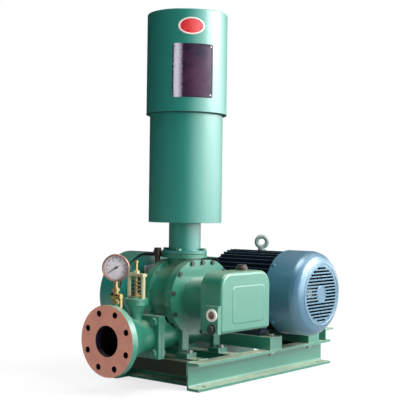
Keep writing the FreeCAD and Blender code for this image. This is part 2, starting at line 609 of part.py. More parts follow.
# Timing gears with involute flanks, meshed at rest.
def gear(name, centre, turn):
    teeth = int(size("gearTeeth"))
    module = gearModule
    pitch = teeth * module / 2
    base = pitch * math.cos(math.radians(20))
    tip = pitch + 0.92 * module
    root = pitch - 1.25 * module
    half = math.pi / (2 * teeth) - 0.17 / pitch
    involute = math.tan(math.radians(20)) - math.radians(20)
    edges = []
    ends = []
    for tooth in range(teeth):
        middle = 2 * math.pi * tooth / teeth + math.radians(turn)
        sides = []
        for side in (-1, 1):
            points = []
            for k in range(5):
                radius = root + 0.8 + (tip - root - 0.8) * k / 4
                roll = math.acos(min(1, base / max(radius, base)))
                angle = half + involute - (math.tan(roll) - roll)
                points.append(V(radius * math.cos(middle + side * angle),
                                radius * math.sin(middle + side * angle), 0))
            curve = Part.BSplineCurve()
            curve.interpolate(points)
            edges.append(curve.toShape())
            sides.append((points[0], points[-1]))
        edges.append(Part.LineSegment(sides[0][1], sides[1][1]).toShape())
        ends.append((sides[0][0], sides[1][0]))
    for here, after in zip(ends, ends[1:] + ends[:1]):
        edges.append(Part.LineSegment(here[1], after[0]).toShape())
    wire = Part.Wire(Part.__sortEdges__(edges))
    blank = Part.Face(wire).extrude(V(0, 0, size("gearWidth")))
    for z in (-1, size("gearWidth") - 8):
        blank = blank.cut(Part.makeCylinder(36, 9, V(0, 0, z)).cut(Part.makeCylinder(23, 9, V(0, 0, z))))
    blank = blank.cut(Part.makeCylinder(shaftRadius, 60, V(0, 0, -5)))
    blank.Placement = FreeCAD.Placement(V(centre, neckFront - 16, shaftZ), FreeCAD.Rotation(V(1, 0, 0), 90))
    return keep(name, feature(name, blank))


gear("drive_gear", driveX, 0)
gear("driven_gear", drivenX, 180 / size("gearTeeth"))

# Inlet side: neck with flange, shell, filter, hood.
gasket = size("gasketThickness")
neckRadius = size("neckPipe") / 2
flangeBottom = seat + gasket
flange = size("flangeThickness")
neckTop = size("neckTop")
neckOutline = polygon((neckRadius - 4, flangeBottom), (68, flangeBottom), (68, flangeBottom + flange),
                      (neckRadius + 1, flangeBottom + flange), (neckRadius, flangeBottom + flange + 1),
                      (neckRadius, neckTop), (neckRadius - 4, neckTop))
inletNeck = turned("inlet_neck_pipe", "Z", neckOutline, x="Sizes.blowerX")
neckHoles = [rod((x, y, flangeBottom - 1), (0, 0, 1), inletHole, flange + 2) for x, y in inletBolts]
keep("inlet_neck", cut("inlet_neck", inletNeck, feature("inlet_neck_holes", Part.makeCompound(neckHoles))))

sheetSize = size("sheetThickness")
shellRadius = size("shellDiameter") / 2
shellTop = size("shellTop")
shellOutline = polygon((neckRadius - 4, neckTop), (shellRadius, neckTop), (shellRadius, shellTop),
                       (shellRadius - sheetSize, shellTop), (shellRadius - sheetSize, neckTop + sheetSize),
                       (neckRadius - 4, neckTop + sheetSize))
keep("silencer_shell", turned("silencer_shell", "Z", shellOutline, x="Sizes.blowerX"))
filterRadius = shellRadius - 16
pleatDepth = 35
filterOutline = rectangle(filterRadius - pleatDepth, neckTop + sheetSize, filterRadius, shellTop - 20)
keep("filter_element", turned("filter_element", "Z", filterOutline, x="Sizes.blowerX"))

hoodRadius = shellRadius + size("hoodClearance") + sheetSize
hoodBottom = size("hoodBottom")
hoodTop = size("hoodTop")
hoodOutline = polygon((hoodRadius - sheetSize, hoodBottom), (hoodRadius, hoodBottom), (hoodRadius, hoodTop - 2),
                      (hoodRadius - 2, hoodTop), (0, hoodTop), (0, hoodTop - sheetSize),
                      (hoodRadius - sheetSize, hoodTop - sheetSize))
hoodShell = turned("hood_shell", "Z", hoodOutline, x="Sizes.blowerX")
doc.recompute()
stays = []
for k in range(4):
    stay = block(shellRadius, hoodRadius - sheetSize + 0.4, -8, 8, hoodBottom + 18, hoodBottom + 48)
    stay.Placement = FreeCAD.Placement(V(blowerX, 0, 0), FreeCAD.Rotation(V(0, 0, 1), 45 + 90 * k))
    stays.append(stay.cut(rod((blowerX, 0, neckTop), (0, 0, 1), shellRadius, shellTop - neckTop)))
keep("silencer_hood", feature("silencer_hood", join([hoodShell.Shape] + stays)))

badgeZ = hoodTop - 52
badge = sector(hoodRadius, 1.2, badgeZ - 30, badgeZ + 30, 44, 50)
badgeTool = Part.Ellipse(V(0, 0, 0), 40, 25.5)
badgeTool = Part.Face(Part.Wire(badgeTool.toShape())).extrude(V(0, 0, 200))
badgeTool.Placement = FreeCAD.Placement(V(blowerX, 0, badgeZ), FreeCAD.Rotation(V(0, 0, 1), -44).multiply(
    FreeCAD.Rotation(V(1, 0, 0), 90)))
keep("oval_badge", feature("oval_badge", badge.common(badgeTool)))
darkTop = hoodTop - 103
darkHeight = 158
darkFacing, darkSpan = 40.6, 58.8
darkPlate = sector(hoodRadius, 1.2, darkTop - darkHeight, darkTop, darkFacing, darkSpan)
keep("dark_plate", feature("dark_plate", darkPlate))

inletGasket = rod((blowerX, 0, seat), (0, 0, 1), 66, gasket).cut(rod((blowerX, 0, seat), (0, 0, 1), 34, gasket))
boltClearances = [rod((x, y, seat - 1), (0, 0, 1), inletHole + 0.2, 4) for x, y in inletBolts]
inletGasket = inletGasket.cut(Part.makeCompound(boltClearances))
outletGasket = rod((jointX - gasket, ductY, ductZ), (1, 0, 0), 56, gasket).cut(
    rod((jointX - gasket, ductY, ductZ), (1, 0, 0), 40, gasket))
keep("flange_gaskets", feature("flange_gaskets", Part.makeCompound([inletGasket, outletGasket])))

# Discharge tee: round flange, bell, branch for the relief valve, boss for the gauge cock.
faceX = size("dischargeFace")
pipeEnd = jointX - gasket
boreRadius = size("dischargeBore") / 2
flangeRadius = size("dischargeFlange") / 2
teeOutline = polygon(
    (faceX, boreRadius), (faceX, flangeRadius), (faceX + 20, flangeRadius), (faceX + 20, 91), (faceX + 44, 83),
    (faceX + 84, 60), (faceX + 112, 50), (pipeEnd - 12, 48), (pipeEnd, 48), (pipeEnd, 38),
    (faceX + 118, 40), (faceX + 84, 51), (faceX + 44, 74), (faceX + 30, 79), (faceX + 20, boreRadius))
teeBody = turned("tee_bell", "X", teeOutline, y="Sizes.dischargeY", z="Sizes.dischargeZ")
valveX = size("valveX")
valveSeat = size("valveSeat")
gaugeX = size("gaugeX")
branchOutline = polygon((0, ductZ + 42), (18, ductZ + 42), (18, valveSeat - 38), (31, valveSeat - 14),
                        (35, valveSeat - 12), (35, valveSeat), (0, valveSeat))
branch = turned("tee_branch", "Z", branchOutline, x="Sizes.valveX", y="Sizes.dischargeY")
doc.recompute()
teeSolid = join([teeBody.Shape, branch.Shape,
                 block(pipeEnd - 12, pipeEnd, ductY - squareHalf, ductY + squareHalf,
                       ductZ - squareHalf, ductZ + squareHalf),
                 rod((gaugeX, ductY, ductZ + 78), (0, 0, 1), 12, 24)])
flangeHoles = [polar(ductY, ductZ, size("dischargePitch") / 2, 22.5 + 45 * k) for k in range(8)]
teeBores = [rod((faceX - 1, y, z), (1, 0, 0), size("dischargeHole") / 2, 22) for y, z in flangeHoles]
teeBores += [rod((pipeEnd - 13, y, z), (1, 0, 0), jointHole, 14) for y, z in flangeFace]
teeBores += [rod((pipeEnd - 13, ductY, ductZ), (1, 0, 0), 38, 14),
             rod((valveX, ductY, ductZ), (0, 0, 1), 12, 120), rod((gaugeX, ductY, ductZ + 30), (0, 0, 1), 7, 80)]
keep("discharge_tee", feature("discharge_tee", teeSolid.cut(Part.makeCompound(teeBores)).removeSplitter()))

flangeFasteners = [bolt((pipeEnd - 12, y, z), (1, 0, 0), size("jointBolt"), 40, 21, 9, 24 + gasket)
                   for y, z in flangeFace]
flangeFasteners += [bolt((x, y, flangeBottom + flange), (0, 0, -1), size("inletBolt"), 20, 16, 6.4)
                    for x, y in inletBolts]
keep("flange_bolts", feature("flange_bolts", Part.makeCompound(flangeFasteners)))

# Relief valve: seat base, two pillars under a bridge, spring round the stem of the disc.
baseOutline = polygon((9, valveSeat), (34, valveSeat), (34, valveSeat + 7), (20, valveSeat + 7),
                      (20, valveSeat + 11), (9, valveSeat + 11))
keep("relief_base", turned("relief_base", "Z", baseOutline, x="Sizes.valveX", y="Sizes.dischargeY"))
bridgeZ = valveSeat + 70
yoke = [rod((valveX, ductY + side * 27, valveSeat + 7), (0, 0, 1), radius, bridgeZ - valveSeat - 6)
        for side, radius in ((-1, 6.5), (1, 5))]
yoke.append(block(valveX - 9, valveX + 9, ductY - 34, ductY + 33, bridgeZ, bridgeZ + 8))
yoke.append(hexagon((valveX, ductY, bridgeZ + 8), (0, 0, 1), 17, 8))
yokeSolid = join(yoke).cut(rod((valveX, ductY, bridgeZ - 1), (0, 0, 1), 4.4, 20))
keep("relief_yoke", feature("relief_yoke", yokeSolid))
discSeat = valveSeat + 11
stemTop = bridgeZ + 44
disc = [rod((valveX, ductY, discSeat), (0, 0, 1), 14, 5), rod((valveX, ductY, discSeat + 5), (0, 0, 1), 8, 4),
        rod((valveX, ductY, discSeat + 5), (0, 0, 1), 4, stemTop - discSeat - 5),
        rod((valveX, ductY, stemTop - 4), (0, 0, 1), 7, 4)]
keep("relief_disc", feature("relief_disc", join(disc)))
springBottom = discSeat + 5
springTop = bridgeZ
springTurns = 5.5
springRadius = 10.5
wireRadius = 1.4


# Closed solid of a wire wound round the valve stem, in flat facets.
def coil(stations, sides):
    rise = springTop - springBottom - 2 * wireRadius - 0.2
    rings = []
    for k in range(stations + 1):
        turn = 2 * math.pi * springTurns * k / stations
        z = springBottom + wireRadius + 0.1 + rise * k / stations
        ringPoints = []
        for side in range(sides):
            around = 2 * math.pi * side / sides
            reach = springRadius + wireRadius * math.cos(around)
            ringPoints.append(V(valveX + reach * math.cos(turn), ductY + reach * math.sin(turn),
                                z + wireRadius * math.sin(around)))
        rings.append(ringPoints)
    faces = []
    for low, high in zip(rings, rings[1:]):
        for a in range(sides):
            b = (a + 1) % sides
            faces.append(Part.Face(Part.makePolygon([low[a], high[a], high[b], low[a]])))
            faces.append(Part.Face(Part.makePolygon([low[a], high[b], low[b], low[a]])))
    faces += [Part.Face(Part.makePolygon(end + end[:1])) for end in (rings[0], rings[-1])]
    solid = Part.Solid(Part.Shell(faces))
    if solid.Volume < 0:
        solid.reverse()
    return solid


keep("relief_spring", feature("relief_spring", coil(88, 6)))

# Gauge cock with a lever, and the gauge turned towards the approach side.
bossTop = ductZ + 102
gaugeZ = size("gaugeHeight")
gaugeRadius = size("gaugeDiameter") / 2
cockBody = join([rod((gaugeX, ductY, bossTop - 14), (0, 0, 1), 7, 14),
                 hexagon((gaugeX, ductY, bossTop), (0, 0, 1), 20, 8),
                 rod((gaugeX, ductY, bossTop + 8), (0, 0, 1), 8, 26),
                 hexagon((gaugeX, ductY, bossTop + 34), (0, 0, 1), 19, 9),
                 rod((gaugeX, ductY, bossTop + 43), (0, 0, 1), 6, gaugeZ - gaugeRadius - bossTop - 43),
                 rod((gaugeX, ductY - 14, bossTop + 21), (0, 1, 0), 8, 28)])
cockBody = cockBody.cut(rod((gaugeX, ductY - 15, bossTop + 21), (0, 1, 0), 4 + fit, 20))
keep("gauge_cock", feature("gauge_cock", cockBody))
leverZ = bossTop + 21
lever = join([rod((gaugeX, ductY - 22, leverZ), (0, 1, 0), 4, 16),
              rod((gaugeX, ductY - 22, leverZ), (0, 1, 0), 7, 6),
              block(gaugeX - 4, gaugeX + 4, ductY - 22, ductY - 18, leverZ - 32, leverZ)])
keep("cock_lever", feature("cock_lever", lever))

gaugeTurn = FreeCAD.Placement(V(gaugeX, ductY, gaugeZ), FreeCAD.Rotation(V(0, 0, 1), size("gaugeAngle")))


def onGauge(name, shape):
    shape.Placement = gaugeTurn.multiply(shape.Placement)
    return keep(name, feature(name, shape))


caseShell = rod((0, -14, 0), (0, 1, 0), gaugeRadius, 30).cut(rod((0, -15, 0), (0, 1, 0), gaugeRadius - 4, 27))
caseShell = caseShell.cut(rod((0, -13.5, 0), (0, 1, 0), gaugeRadius - 2.5, 2.5))
onGauge("gauge_case", caseShell)
dialPlate = rod((0, 8, 0), (0, 1, 0), gaugeRadius - 4, 4).cut(rod((0, 5, 0), (0, 1, 0), 2.05, 10))
onGauge("gauge_dial", dialPlate)
needle = join([rod((0, 1, 0), (0, 1, 0), 2, 9), rod((0, 2, 0), (0, 1, 0), 4, 2),
               block(-1, 1, 3, 4.2, -8, 27)])
needle.Placement = FreeCAD.Placement(V(0, 0, 0), FreeCAD.Rotation(V(0, 1, 0), -125))
onGauge("gauge_pointer", needle)
onGauge("gauge_lens", rod((0, -13.5, 0), (0, 1, 0), gaugeRadius - 2.5, 2.5))

# Motor: finned barrel on four feet.
shoulder = size("motorShoulder")
finFront = -150
finBack = shoulder - 24
finRadius = size("finRadius")
barrelRadius = size("barrelRadius")
fins = 44
finEdges = []
corner = []
for k in range(fins):
    middle = 360 * k / fins + 180 / fins
    halfRoot = math.degrees(2.4 / barrelRadius)
    halfTip = math.degrees(1.3 / finRadius)
    corner.append([polar(0, 0, barrelRadius, middle - halfRoot), polar(0, 0, finRadius, middle - halfTip),
                   polar(0, 0, finRadius, middle + halfTip), polar(0, 0, barrelRadius, middle + halfRoot)])
for here, after in zip(corner, corner[1:] + corner[:1]):
    finEdges += [line(here[0], here[1]), line(here[1], here[2]), line(here[2], here[3]), line(here[3], after[0])]
finBody = extruded("motor_fins", "Y", finEdges, f"{finFront}", f"Sizes.motorShoulder - 24 - {finFront}")
finBody.setExpression("Placement.Base.x", "Sizes.motorX")
finBody.setExpression("Placement.Base.z", "Sizes.shaftHeight")
doc.recompute()
stator = 104
frameParts = [finBody.Shape]
footFront = size("motorFootFront")
footBack = size("motorFootBack")
for side in (-1, 1):
    foot = sorted((motorX + side * (size("motorFootX") - 24), motorX + side * (size("motorFootX") + 26)))
    rib = sorted((motorX + side * (size("motorFootX") - 16), motorX + side * (size("motorFootX") + 16)))
    frameParts.append(block(foot[0], foot[1], footFront - 26, footBack + 26, beamTop, motorFootTop))
    for y in (footFront - 24, footBack - 24):
        frameParts.append(block(rib[0], rib[1], y, y + 40, motorFootTop - 2, shaftZ - 50).cut(
            block(rib[0] - 1, rib[1] + 1, y + 10, y + 41, motorFootTop, motorFootTop + 24)))
eyeY = -43
frameParts.append(rod((motorX, eyeY, shaftZ + barrelRadius - 4), (0, 0, 1), 15, finRadius - barrelRadius + 5))
frameParts.append(block(motorX + barrelRadius - 6, motorX + finRadius + 1, -60, 40, shaftZ - 30, shaftZ + 50))
frameSolid = join(frameParts)
frameBores = [rod((motorX, finFront - 1, shaftZ), (0, 1, 0), stator, finBack - finFront + 2),
              rod((motorX, eyeY, shaftZ + finRadius - 16), (0, 0, 1), 5, 20)]
frameBores += [rod((x, y, beamTop - 1), (0, 0, 1), footHole, 16) for x, y in motorFeet]
frameSolid = frameSolid.cut(Part.makeCompound(frameBores))
keep("motor_frame", feature("motor_frame", frameSolid))

motorShaft = size("motorShaft") / 2
cowlSheet = 2.5
cowlInside = size("cowlRadius") - cowlSheet - 0.1
driveShield = polygon((motorShaft + fit, finBack + 2), (motorShaft + fit, shoulder), (46, shoulder),
                      (60, shoulder - 6), (100, shoulder - 10), (120, shoulder - 16), (122, finBack),
                      (stator, finBack), (stator, finBack - 6), (stator - 8, finBack - 6), (stator - 8, finBack + 2))
fanShield = polygon((motorShaft + fit, finFront - 2), (stator - 8, finFront - 2), (stator - 8, finFront + 6),
                    (stator, finFront + 6), (stator, finFront), (cowlInside, finFront), (cowlInside, finFront - 10),
                    (60, finFront - 12), (40, finFront - 22), (motorShaft + fit, finFront - 22))
shields = [turned("drive_shield", "Y", driveShield, x="Sizes.motorX", z="Sizes.shaftHeight"),
           turned("fan_shield", "Y", fanShield, x="Sizes.motorX", z="Sizes.shaftHeight")]
keep("motor_end_shields", grouped("motor_end_shields", *shields))

# Fan cowl with rows of slots in its face.
face = size("motorFace")
cowl = size("cowlRadius")
cowlOutline = polygon((cowl - cowlSheet, finFront), (cowl, finFront), (cowl, face + 38), (cowl - 5, face + 22),
                      (cowl - 17, face + 8), (cowl - 37, face), (0, face), (0, face + cowlSheet),
                      (cowl - 38, face + cowlSheet), (cowl - 19, face + 10), (cowl - 7.5, face + 23),
                      (cowl - cowlSheet, face + 38))
cowlBody = turned("cowl_shell", "Y", cowlOutline, x="Sizes.motorX", z="Sizes.shaftHeight")
slots = []
slotRows = 17
slotPitch = 10.2
grilleRadius = 85
plainCentre = 27
for row in range(slotRows):
    z = (row - (slotRows - 1) / 2) * slotPitch
    reach = math.sqrt(grilleRadius ** 2 - z ** 2)
    inner = math.sqrt(max(plainCentre ** 2 - z ** 2, 0))
    spans = [(-reach, -inner), (inner, reach)] if inner else [(-reach, reach)]
    for x0, x1 in spans:
        slots.append(block(motorX + x0, motorX + x1, face - 1, face + 4, shaftZ + z - 2.8, shaftZ + z + 2.8))
keep("fan_cowl", cut("fan_cowl", cowlBody, feature("cowl_slots", Part.makeCompound(slots))))

stackFront, stackLength, statorBore, airGap = -105, 150, 67, 0.6
stackShape = ring(motorX, stackFront, shaftZ, stator, statorBore, stackLength)
keep("motor_stator", feature("motor_stator", stackShape))
shaftEnd = pulleyFront + pulleyWidth
fanFront, fanDepth, fanRadius, hubRadius, fanShaft = -230, 34, 108, 30, 14
coreFront, coreBack, coreRadius = stackFront + 5, stackFront + stackLength - 5, statorBore - airGap
rotorOutlineY = polygon((0, fanFront - 2), (fanShaft, fanFront - 2), (fanShaft, finFront - 24),
                        (motorShaft, finFront - 24), (motorShaft, coreFront), (coreRadius, coreFront),
                        (coreRadius, coreBack), (motorShaft, coreBack), (motorShaft, shaftEnd), (0, shaftEnd))
keep("motor_rotor", turned("motor_rotor", "Y", rotorOutlineY, x="Sizes.motorX", z="Sizes.shaftHeight"))

fanParts = [rod((0, fanFront, 0), (0, 1, 0), hubRadius, fanDepth)]
for k in range(6):
    blade = block(hubRadius - 10, fanRadius, fanFront + 1, fanFront + 33, -1.5, 1.5)
    blade.Placement = FreeCAD.Placement(V(0, 0, 0), FreeCAD.Rotation(V(0, 1, 0), 60 * k))
    fanParts.append(blade)
fanParts.append(rod((0, fanFront + 31, 0), (0, 1, 0), fanRadius, 3))
fan = join(fanParts).cut(rod((0, fanFront - 10, 0), (0, 1, 0), fanShaft, fanDepth + 26))
fan.Placement = FreeCAD.Placement(V(motorX, 0, shaftZ), FreeCAD.Rotation())
keep("cooling_fan", feature("cooling_fan", fan))


# Pulleys with three V grooves; the belts run clear of the groove walls.
groovePitch, grooveHalf, grooveDepth = 15, 6.8, 11
grooveSlope = math.tan(math.radians(19))


def pulley(name, diameter, bore, hub, centre):
    radius = diameter / 2
    points = [(bore, pulleyFront), (hub, pulleyFront), (hub, pulleyFront + 14), (radius - 24, pulleyFront + 14),
              (radius - 24, pulleyFront), (radius, pulleyFront)]
    for k in range(3):
        middle = pulleyFront + pulleyWidth / 2 + groovePitch * (k - 1)
        deep = grooveHalf - grooveDepth * grooveSlope
        points += [(radius, middle - grooveHalf), (radius - grooveDepth, middle - deep),
                   (radius - grooveDepth, middle + deep), (radius, middle + grooveHalf)]
    points += [(radius, pulleyFront + pulleyWidth), (radius - 24, pulleyFront + pulleyWidth),
               (radius - 24, pulleyFront + 36), (hub, pulleyFront + 36), (hub, pulleyFront + pulleyWidth),
               (bore, pulleyFront + pulleyWidth)]
    return keep(name, turned(name, "Y", polygon(*points), x=centre, z="Sizes.shaftHeight"))


pulley("blower_pulley", size("blowerPulley"), shaftRadius, 30, "Sizes.blowerX - Sizes.rotorSpacing / 2")
pulley("motor_pulley", size("motorPulley"), motorShaft, 34, "Sizes.motorX")

beltDepth, beltSink = 8, 0.4
belts = []
for k in range(3):
    middle = pulleyFront + pulleyWidth / 2 + groovePitch * (k - 1)
    big = size("blowerPulley") / 2 - beltSink
    small = size("motorPulley") / 2 - beltSink
    wide = grooveHalf - beltSink * grooveSlope - 0.4
    narrow = wide - beltDepth * grooveSlope
    path = Part.Wire(Part.__sortEdges__([c.toShape() for c in oval(driveX, big, motorX, small, shaftZ)]))
    path.Placement = FreeCAD.Placement(V(0, middle, 0), FreeCAD.Rotation(V(1, 0, 0), 90))
    start = path.OrderedVertexes[0].Point
    out = V(start.x - driveX, 0, start.z - shaftZ) if start.x < 0 else V(start.x - motorX, 0, start.z - shaftZ)
    out.normalize()
    across = V(0, 1, 0)
    corners = [start + across * wide, start - across * wide, start - across * narrow - out * beltDepth,
               start + across * narrow - out * beltDepth]
    profile = Part.makePolygon(corners + corners[:1])
    belts.append(path.makePipeShell([profile], True, True))
keep("drive_belts", feature("drive_belts", Part.makeCompound(belts)))

eyeTurn = FreeCAD.Placement(V(motorX, eyeY, shaftZ + finRadius + 28),
                            FreeCAD.Rotation(V(0, 0, 1), size("gaugeAngle")))
eyeRadius, eyeWire = 17, 6.8
eyeSection = [V(eyeRadius + eyeWire * math.cos(math.radians(36 * k)), eyeWire * math.sin(math.radians(36 * k)), 0)
              for k in range(10)]
eyeRing = Part.Face(Part.makePolygon(eyeSection + eyeSection[:1])).revolve(V(0, 0, 0), V(0, 1, 0), 360)
eyeBolt = join([eyeRing, Part.makeCylinder(12, 7, V(0, 0, -27)), Part.makeCylinder(5, 18, V(0, 0, -43))])
eyeBolt.Placement = eyeTurn
keep("eye_bolt", feature("eye_bolt", eyeBolt))

boxX = motorX + finRadius + 1
boxShell = block(boxX, boxX + 50, -64, 44, shaftZ - 34, shaftZ + 54)
boxShell = boxShell.makeFillet(5, [e for e in boxShell.Edges if e.BoundBox.XLength > 40])
boxShell = boxShell.cut(block(boxX + 4, boxX + 51, -59, 39, shaftZ - 29, shaftZ + 49))
boxShell = boxShell.cut(rod((boxX + 25, -10, shaftZ - 40), (0, 0, 1), 11, 15))
keep("terminal_box", feature("terminal_box", boxShell))
lid = block(boxX + 50, boxX + 57, -66, 46, shaftZ - 36, shaftZ + 56)
lid = lid.makeFillet(4, [e for e in lid.Edges if e.BoundBox.XMax > boxX + 56.9 and e.BoundBox.XLength < 0.01])
keep("terminal_lid", feature("terminal_lid", lid))
gland = join([hexagon((boxX + 25, -10, shaftZ - 34), (0, 0, -1), 26, 10),
              rod((boxX + 25, -10, shaftZ - 26), (0, 0, -1), 11, 32)])
keep("cable_gland", feature("cable_gland", gland.cut(rod((boxX + 25, -10, shaftZ - 70), (0, 0, 1), 6, 60))))

# Belt guard: shell open to the front, with a set-in plate.
guardFront = size("guardFront")
guardBack = size("guardBack")
thin = size("guardSheet")
big = size("guardRadius")
small = size("guardSmallRadius")
guardOuter = extruded("guard_outer", "Y", oval(driveX, big, motorX, small, shaftZ), "Sizes.guardFront",
                      "Sizes.guardBack - Sizes.guardFront")
guardInner = oval(driveX, big - thin, motorX, small - thin, shaftZ)
pocketed(guardOuter, "guard_hollow", "Y", guardInner, "Sizes.guardFront",
         "Sizes.guardBack - Sizes.guardFront - Sizes.guardSheet")
keep("belt_guard", guardOuter)
guardPlate = extruded("guard_plate", "Y", oval(driveX, big - thin, motorX, small - thin, shaftZ),
                      "Sizes.guardFront + 7", "Sizes.guardSheet")
holes = circle(driveX, shaftZ, shaftRadius + 9) + circle(motorX, shaftZ, motorShaft + 11)
pocketed(guardPlate, "guard_plate_holes", "Y", holes, "Sizes.guardFront + 6", "10")
keep("guard_plate", guardPlate)

brackets = []
guardBottom = shaftZ - big
guardEdges = [c.toShape() for c in oval(driveX, big, motorX, small, shaftZ)]
guardFill = Part.Face(Part.Wire(Part.__sortEdges__(guardEdges))).extrude(V(0, 0, 90))
guardFill.Placement = FreeCAD.Placement(V(0, guardBack, 0), FreeCAD.Rotation(V(1, 0, 0), 90))
bracketFront = size("frameWidth") / 2 - 38
for x in (driveX - 18, driveX + 18):
    bracket = join([block(x - 15, x + 15, bracketFront, bracketFront + 30, railTop, railTop + 5),
                    block(x - 15, x + 15, bracketFront, bracketFront + 5, railTop, guardBottom + 12)])
    brackets.append(bracket.cut(guardFill))
keep("guard_brackets", feature("guard_brackets", Part.makeCompound(brackets)))

doc.recompute()
for item in doc.Objects:
    if "Invalid" in item.State or "Error" in item.State:
        raise RuntimeError(f"{item.Name} is not built: {item.State}")
os.makedirs("parts", exist_ok=True)
for name, item in nodes.items():
    shape = item.Shape
    if shape.isNull() or not shape.isValid() or not shape.Solids:
        raise RuntimeError(f"{name} has no valid solid")
    shape.exportStep(f"parts/{name}.step")
print(len(nodes), "nodes written")
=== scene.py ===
import json
from math import cos, hypot, pi, radians, sin

import bmesh
import bpy
from mathutils import Matrix, Vector, noise


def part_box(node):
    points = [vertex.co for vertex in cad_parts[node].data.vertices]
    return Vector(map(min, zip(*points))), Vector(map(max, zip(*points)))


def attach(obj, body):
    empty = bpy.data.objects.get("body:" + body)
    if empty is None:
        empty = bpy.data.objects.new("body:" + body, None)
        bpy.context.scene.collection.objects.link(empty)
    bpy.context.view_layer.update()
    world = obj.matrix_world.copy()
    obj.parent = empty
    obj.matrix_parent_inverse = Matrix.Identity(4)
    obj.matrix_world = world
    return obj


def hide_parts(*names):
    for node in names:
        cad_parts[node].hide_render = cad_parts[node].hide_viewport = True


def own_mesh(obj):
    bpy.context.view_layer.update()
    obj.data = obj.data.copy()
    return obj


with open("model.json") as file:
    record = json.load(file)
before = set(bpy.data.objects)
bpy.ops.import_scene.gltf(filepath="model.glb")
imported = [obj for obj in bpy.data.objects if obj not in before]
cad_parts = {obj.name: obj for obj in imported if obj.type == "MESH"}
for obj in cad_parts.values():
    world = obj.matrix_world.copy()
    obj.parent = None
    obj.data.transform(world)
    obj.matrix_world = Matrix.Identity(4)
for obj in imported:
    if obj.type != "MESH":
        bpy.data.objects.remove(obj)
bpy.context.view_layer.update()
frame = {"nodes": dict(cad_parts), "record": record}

nodes = frame["nodes"]
collection = bpy.context.scene.collection
bodyOf = {node: body for body, members in frame["record"]["behaviour"]["bodies"].items() for node in members}
print("frame loaded:", len(nodes), "nodes")


# viewpoint, light and floor; metres and degrees, with the lens and the sensor in millimetres
viewpoint = {"place": (-2.407, -1.8717, 0.5252), "yaw": 50.527, "pitch": 0.349, "roll": -0.752,
             "lens": 85.236, "sensor": 36, "sight": 60}


def placeCamera():
    yaw, pitch, roll = (radians(viewpoint[key]) for key in ("yaw", "pitch", "roll"))
    forward = Vector((sin(yaw) * cos(pitch), cos(yaw) * cos(pitch), sin(pitch)))
    level = Vector((cos(yaw), -sin(yaw), 0))
    above = level.cross(forward)
    right = level * cos(roll) - above * sin(roll)
    up = level * sin(roll) + above * cos(roll)
    lens = bpy.data.cameras.new("photoLens")
    lens.lens = viewpoint["lens"]
    lens.sensor_width = viewpoint["sensor"]
    lens.clip_end = viewpoint["sight"]
    camera = bpy.data.objects.new("photoCamera", lens)
    turn = Matrix((right, up, -forward)).transposed().to_4x4()
    camera.matrix_world = Matrix.Translation(viewpoint["place"]) @ turn
    collection.objects.link(camera)
    bpy.context.scene.camera = camera


def plug(tree, value, socket):
    # links an output, or sets a value; colours are written without their alpha
    if isinstance(value, bpy.types.NodeSocket):
        tree.links.new(value, socket)
    elif value is not None:
        socket.default_value = (*value, 1) if socket.type == "RGBA" else value


def addNode(tree, kind, sockets=(), **settings):
    node = tree.nodes.new("ShaderNode" + kind)
    for key, value in settings.items():
        setattr(node, key, value)
    for key, value in dict(sockets).items():
        plug(tree, value, node.inputs[key])
    return node


def calc(tree, operation, first, second=None, third=None, clamp=False):
    sockets = enumerate((first, second, third))
    return addNode(tree, "Math", sockets, operation=operation, use_clamp=clamp).outputs[0]


def remap(tree, value, fromLow, fromHigh, toLow=0.0, toHigh=1.0):
    sockets = enumerate((value, fromLow, fromHigh, toLow, toHigh))
    return addNode(tree, "MapRange", sockets, clamp=True).outputs[0]


def mixColour(tree, amount, first, second):
    return addNode(tree, "Mix", {0: amount, 6: first, 7: second}, data_type="RGBA").outputs[2]


def grain(tree, place, scale, detail=3.0, rough=0.55):
    sockets = {"Vector": place, "Scale": scale, "Detail": detail, "Roughness": rough}
    return addNode(tree, "TexNoise", sockets).outputs[0]


def vectorCalc(tree, operation, first, second=None):
    node = addNode(tree, "VectorMath", enumerate((first, second)), operation=operation)
    return node.outputs["Vector" if operation in ("SUBTRACT", "MULTIPLY") else "Value"]


def dot(tree, first, second):
    return vectorCalc(tree, "DOT_PRODUCT", first, second)


def objectPlace(tree):
    return addNode(tree, "TexCoord").outputs["Object"]


studio = {
    "lampSide": (0.6357, -0.7719, 0.1),  # towards the bright side
    "behind": (0.7719, 0.6357, 0.0),
    "ambient": (0.06, 0.22),  # dark side, bright side
    "mirror": (0.03, 5.6),  # the same, as reflections show it
    "mirrorSpread": (0.1, 0.95),
    "behindSpread": (0.3, 1.0),
    "behindDim": 0.2,
    "climbSpread": (0.1, 0.32),
    "climbDim": 0.22,
    "floorPaint": (0.95, 0.955, 0.955),
    "floorBounce": (0.4, 0.42, 0.42),  # the floor as the set sees it
    "floorReach": 14,
    "floorDrop": 0.0006,
    "floorShow": 0.26,  # how much of the shadow is seen
    "floorFade": (0.55, 1.1),
    "aim": (-0.1, 0.0, 0.45),
}
lamps = {
    # place, size, power, seen in reflections
    "keyLamp": ((1.25, -2.25, 2.0), (2.4, 1.6), 128, True),
    "topLamp": ((-0.2, -0.3, 3.1), (1.6, 1.6), 52, True),
    "fillLamp": ((-1.2, -2.9, 1.2), (1.4, 1.2), 42, False),
    "sideLamp": ((-1.6, 0.35, 0.3), (0.6, 0.6), 2.6, False),
    "backLamp": ((2.2, 2.2, 1.7), (2.0, 1.4), 80, False),
}


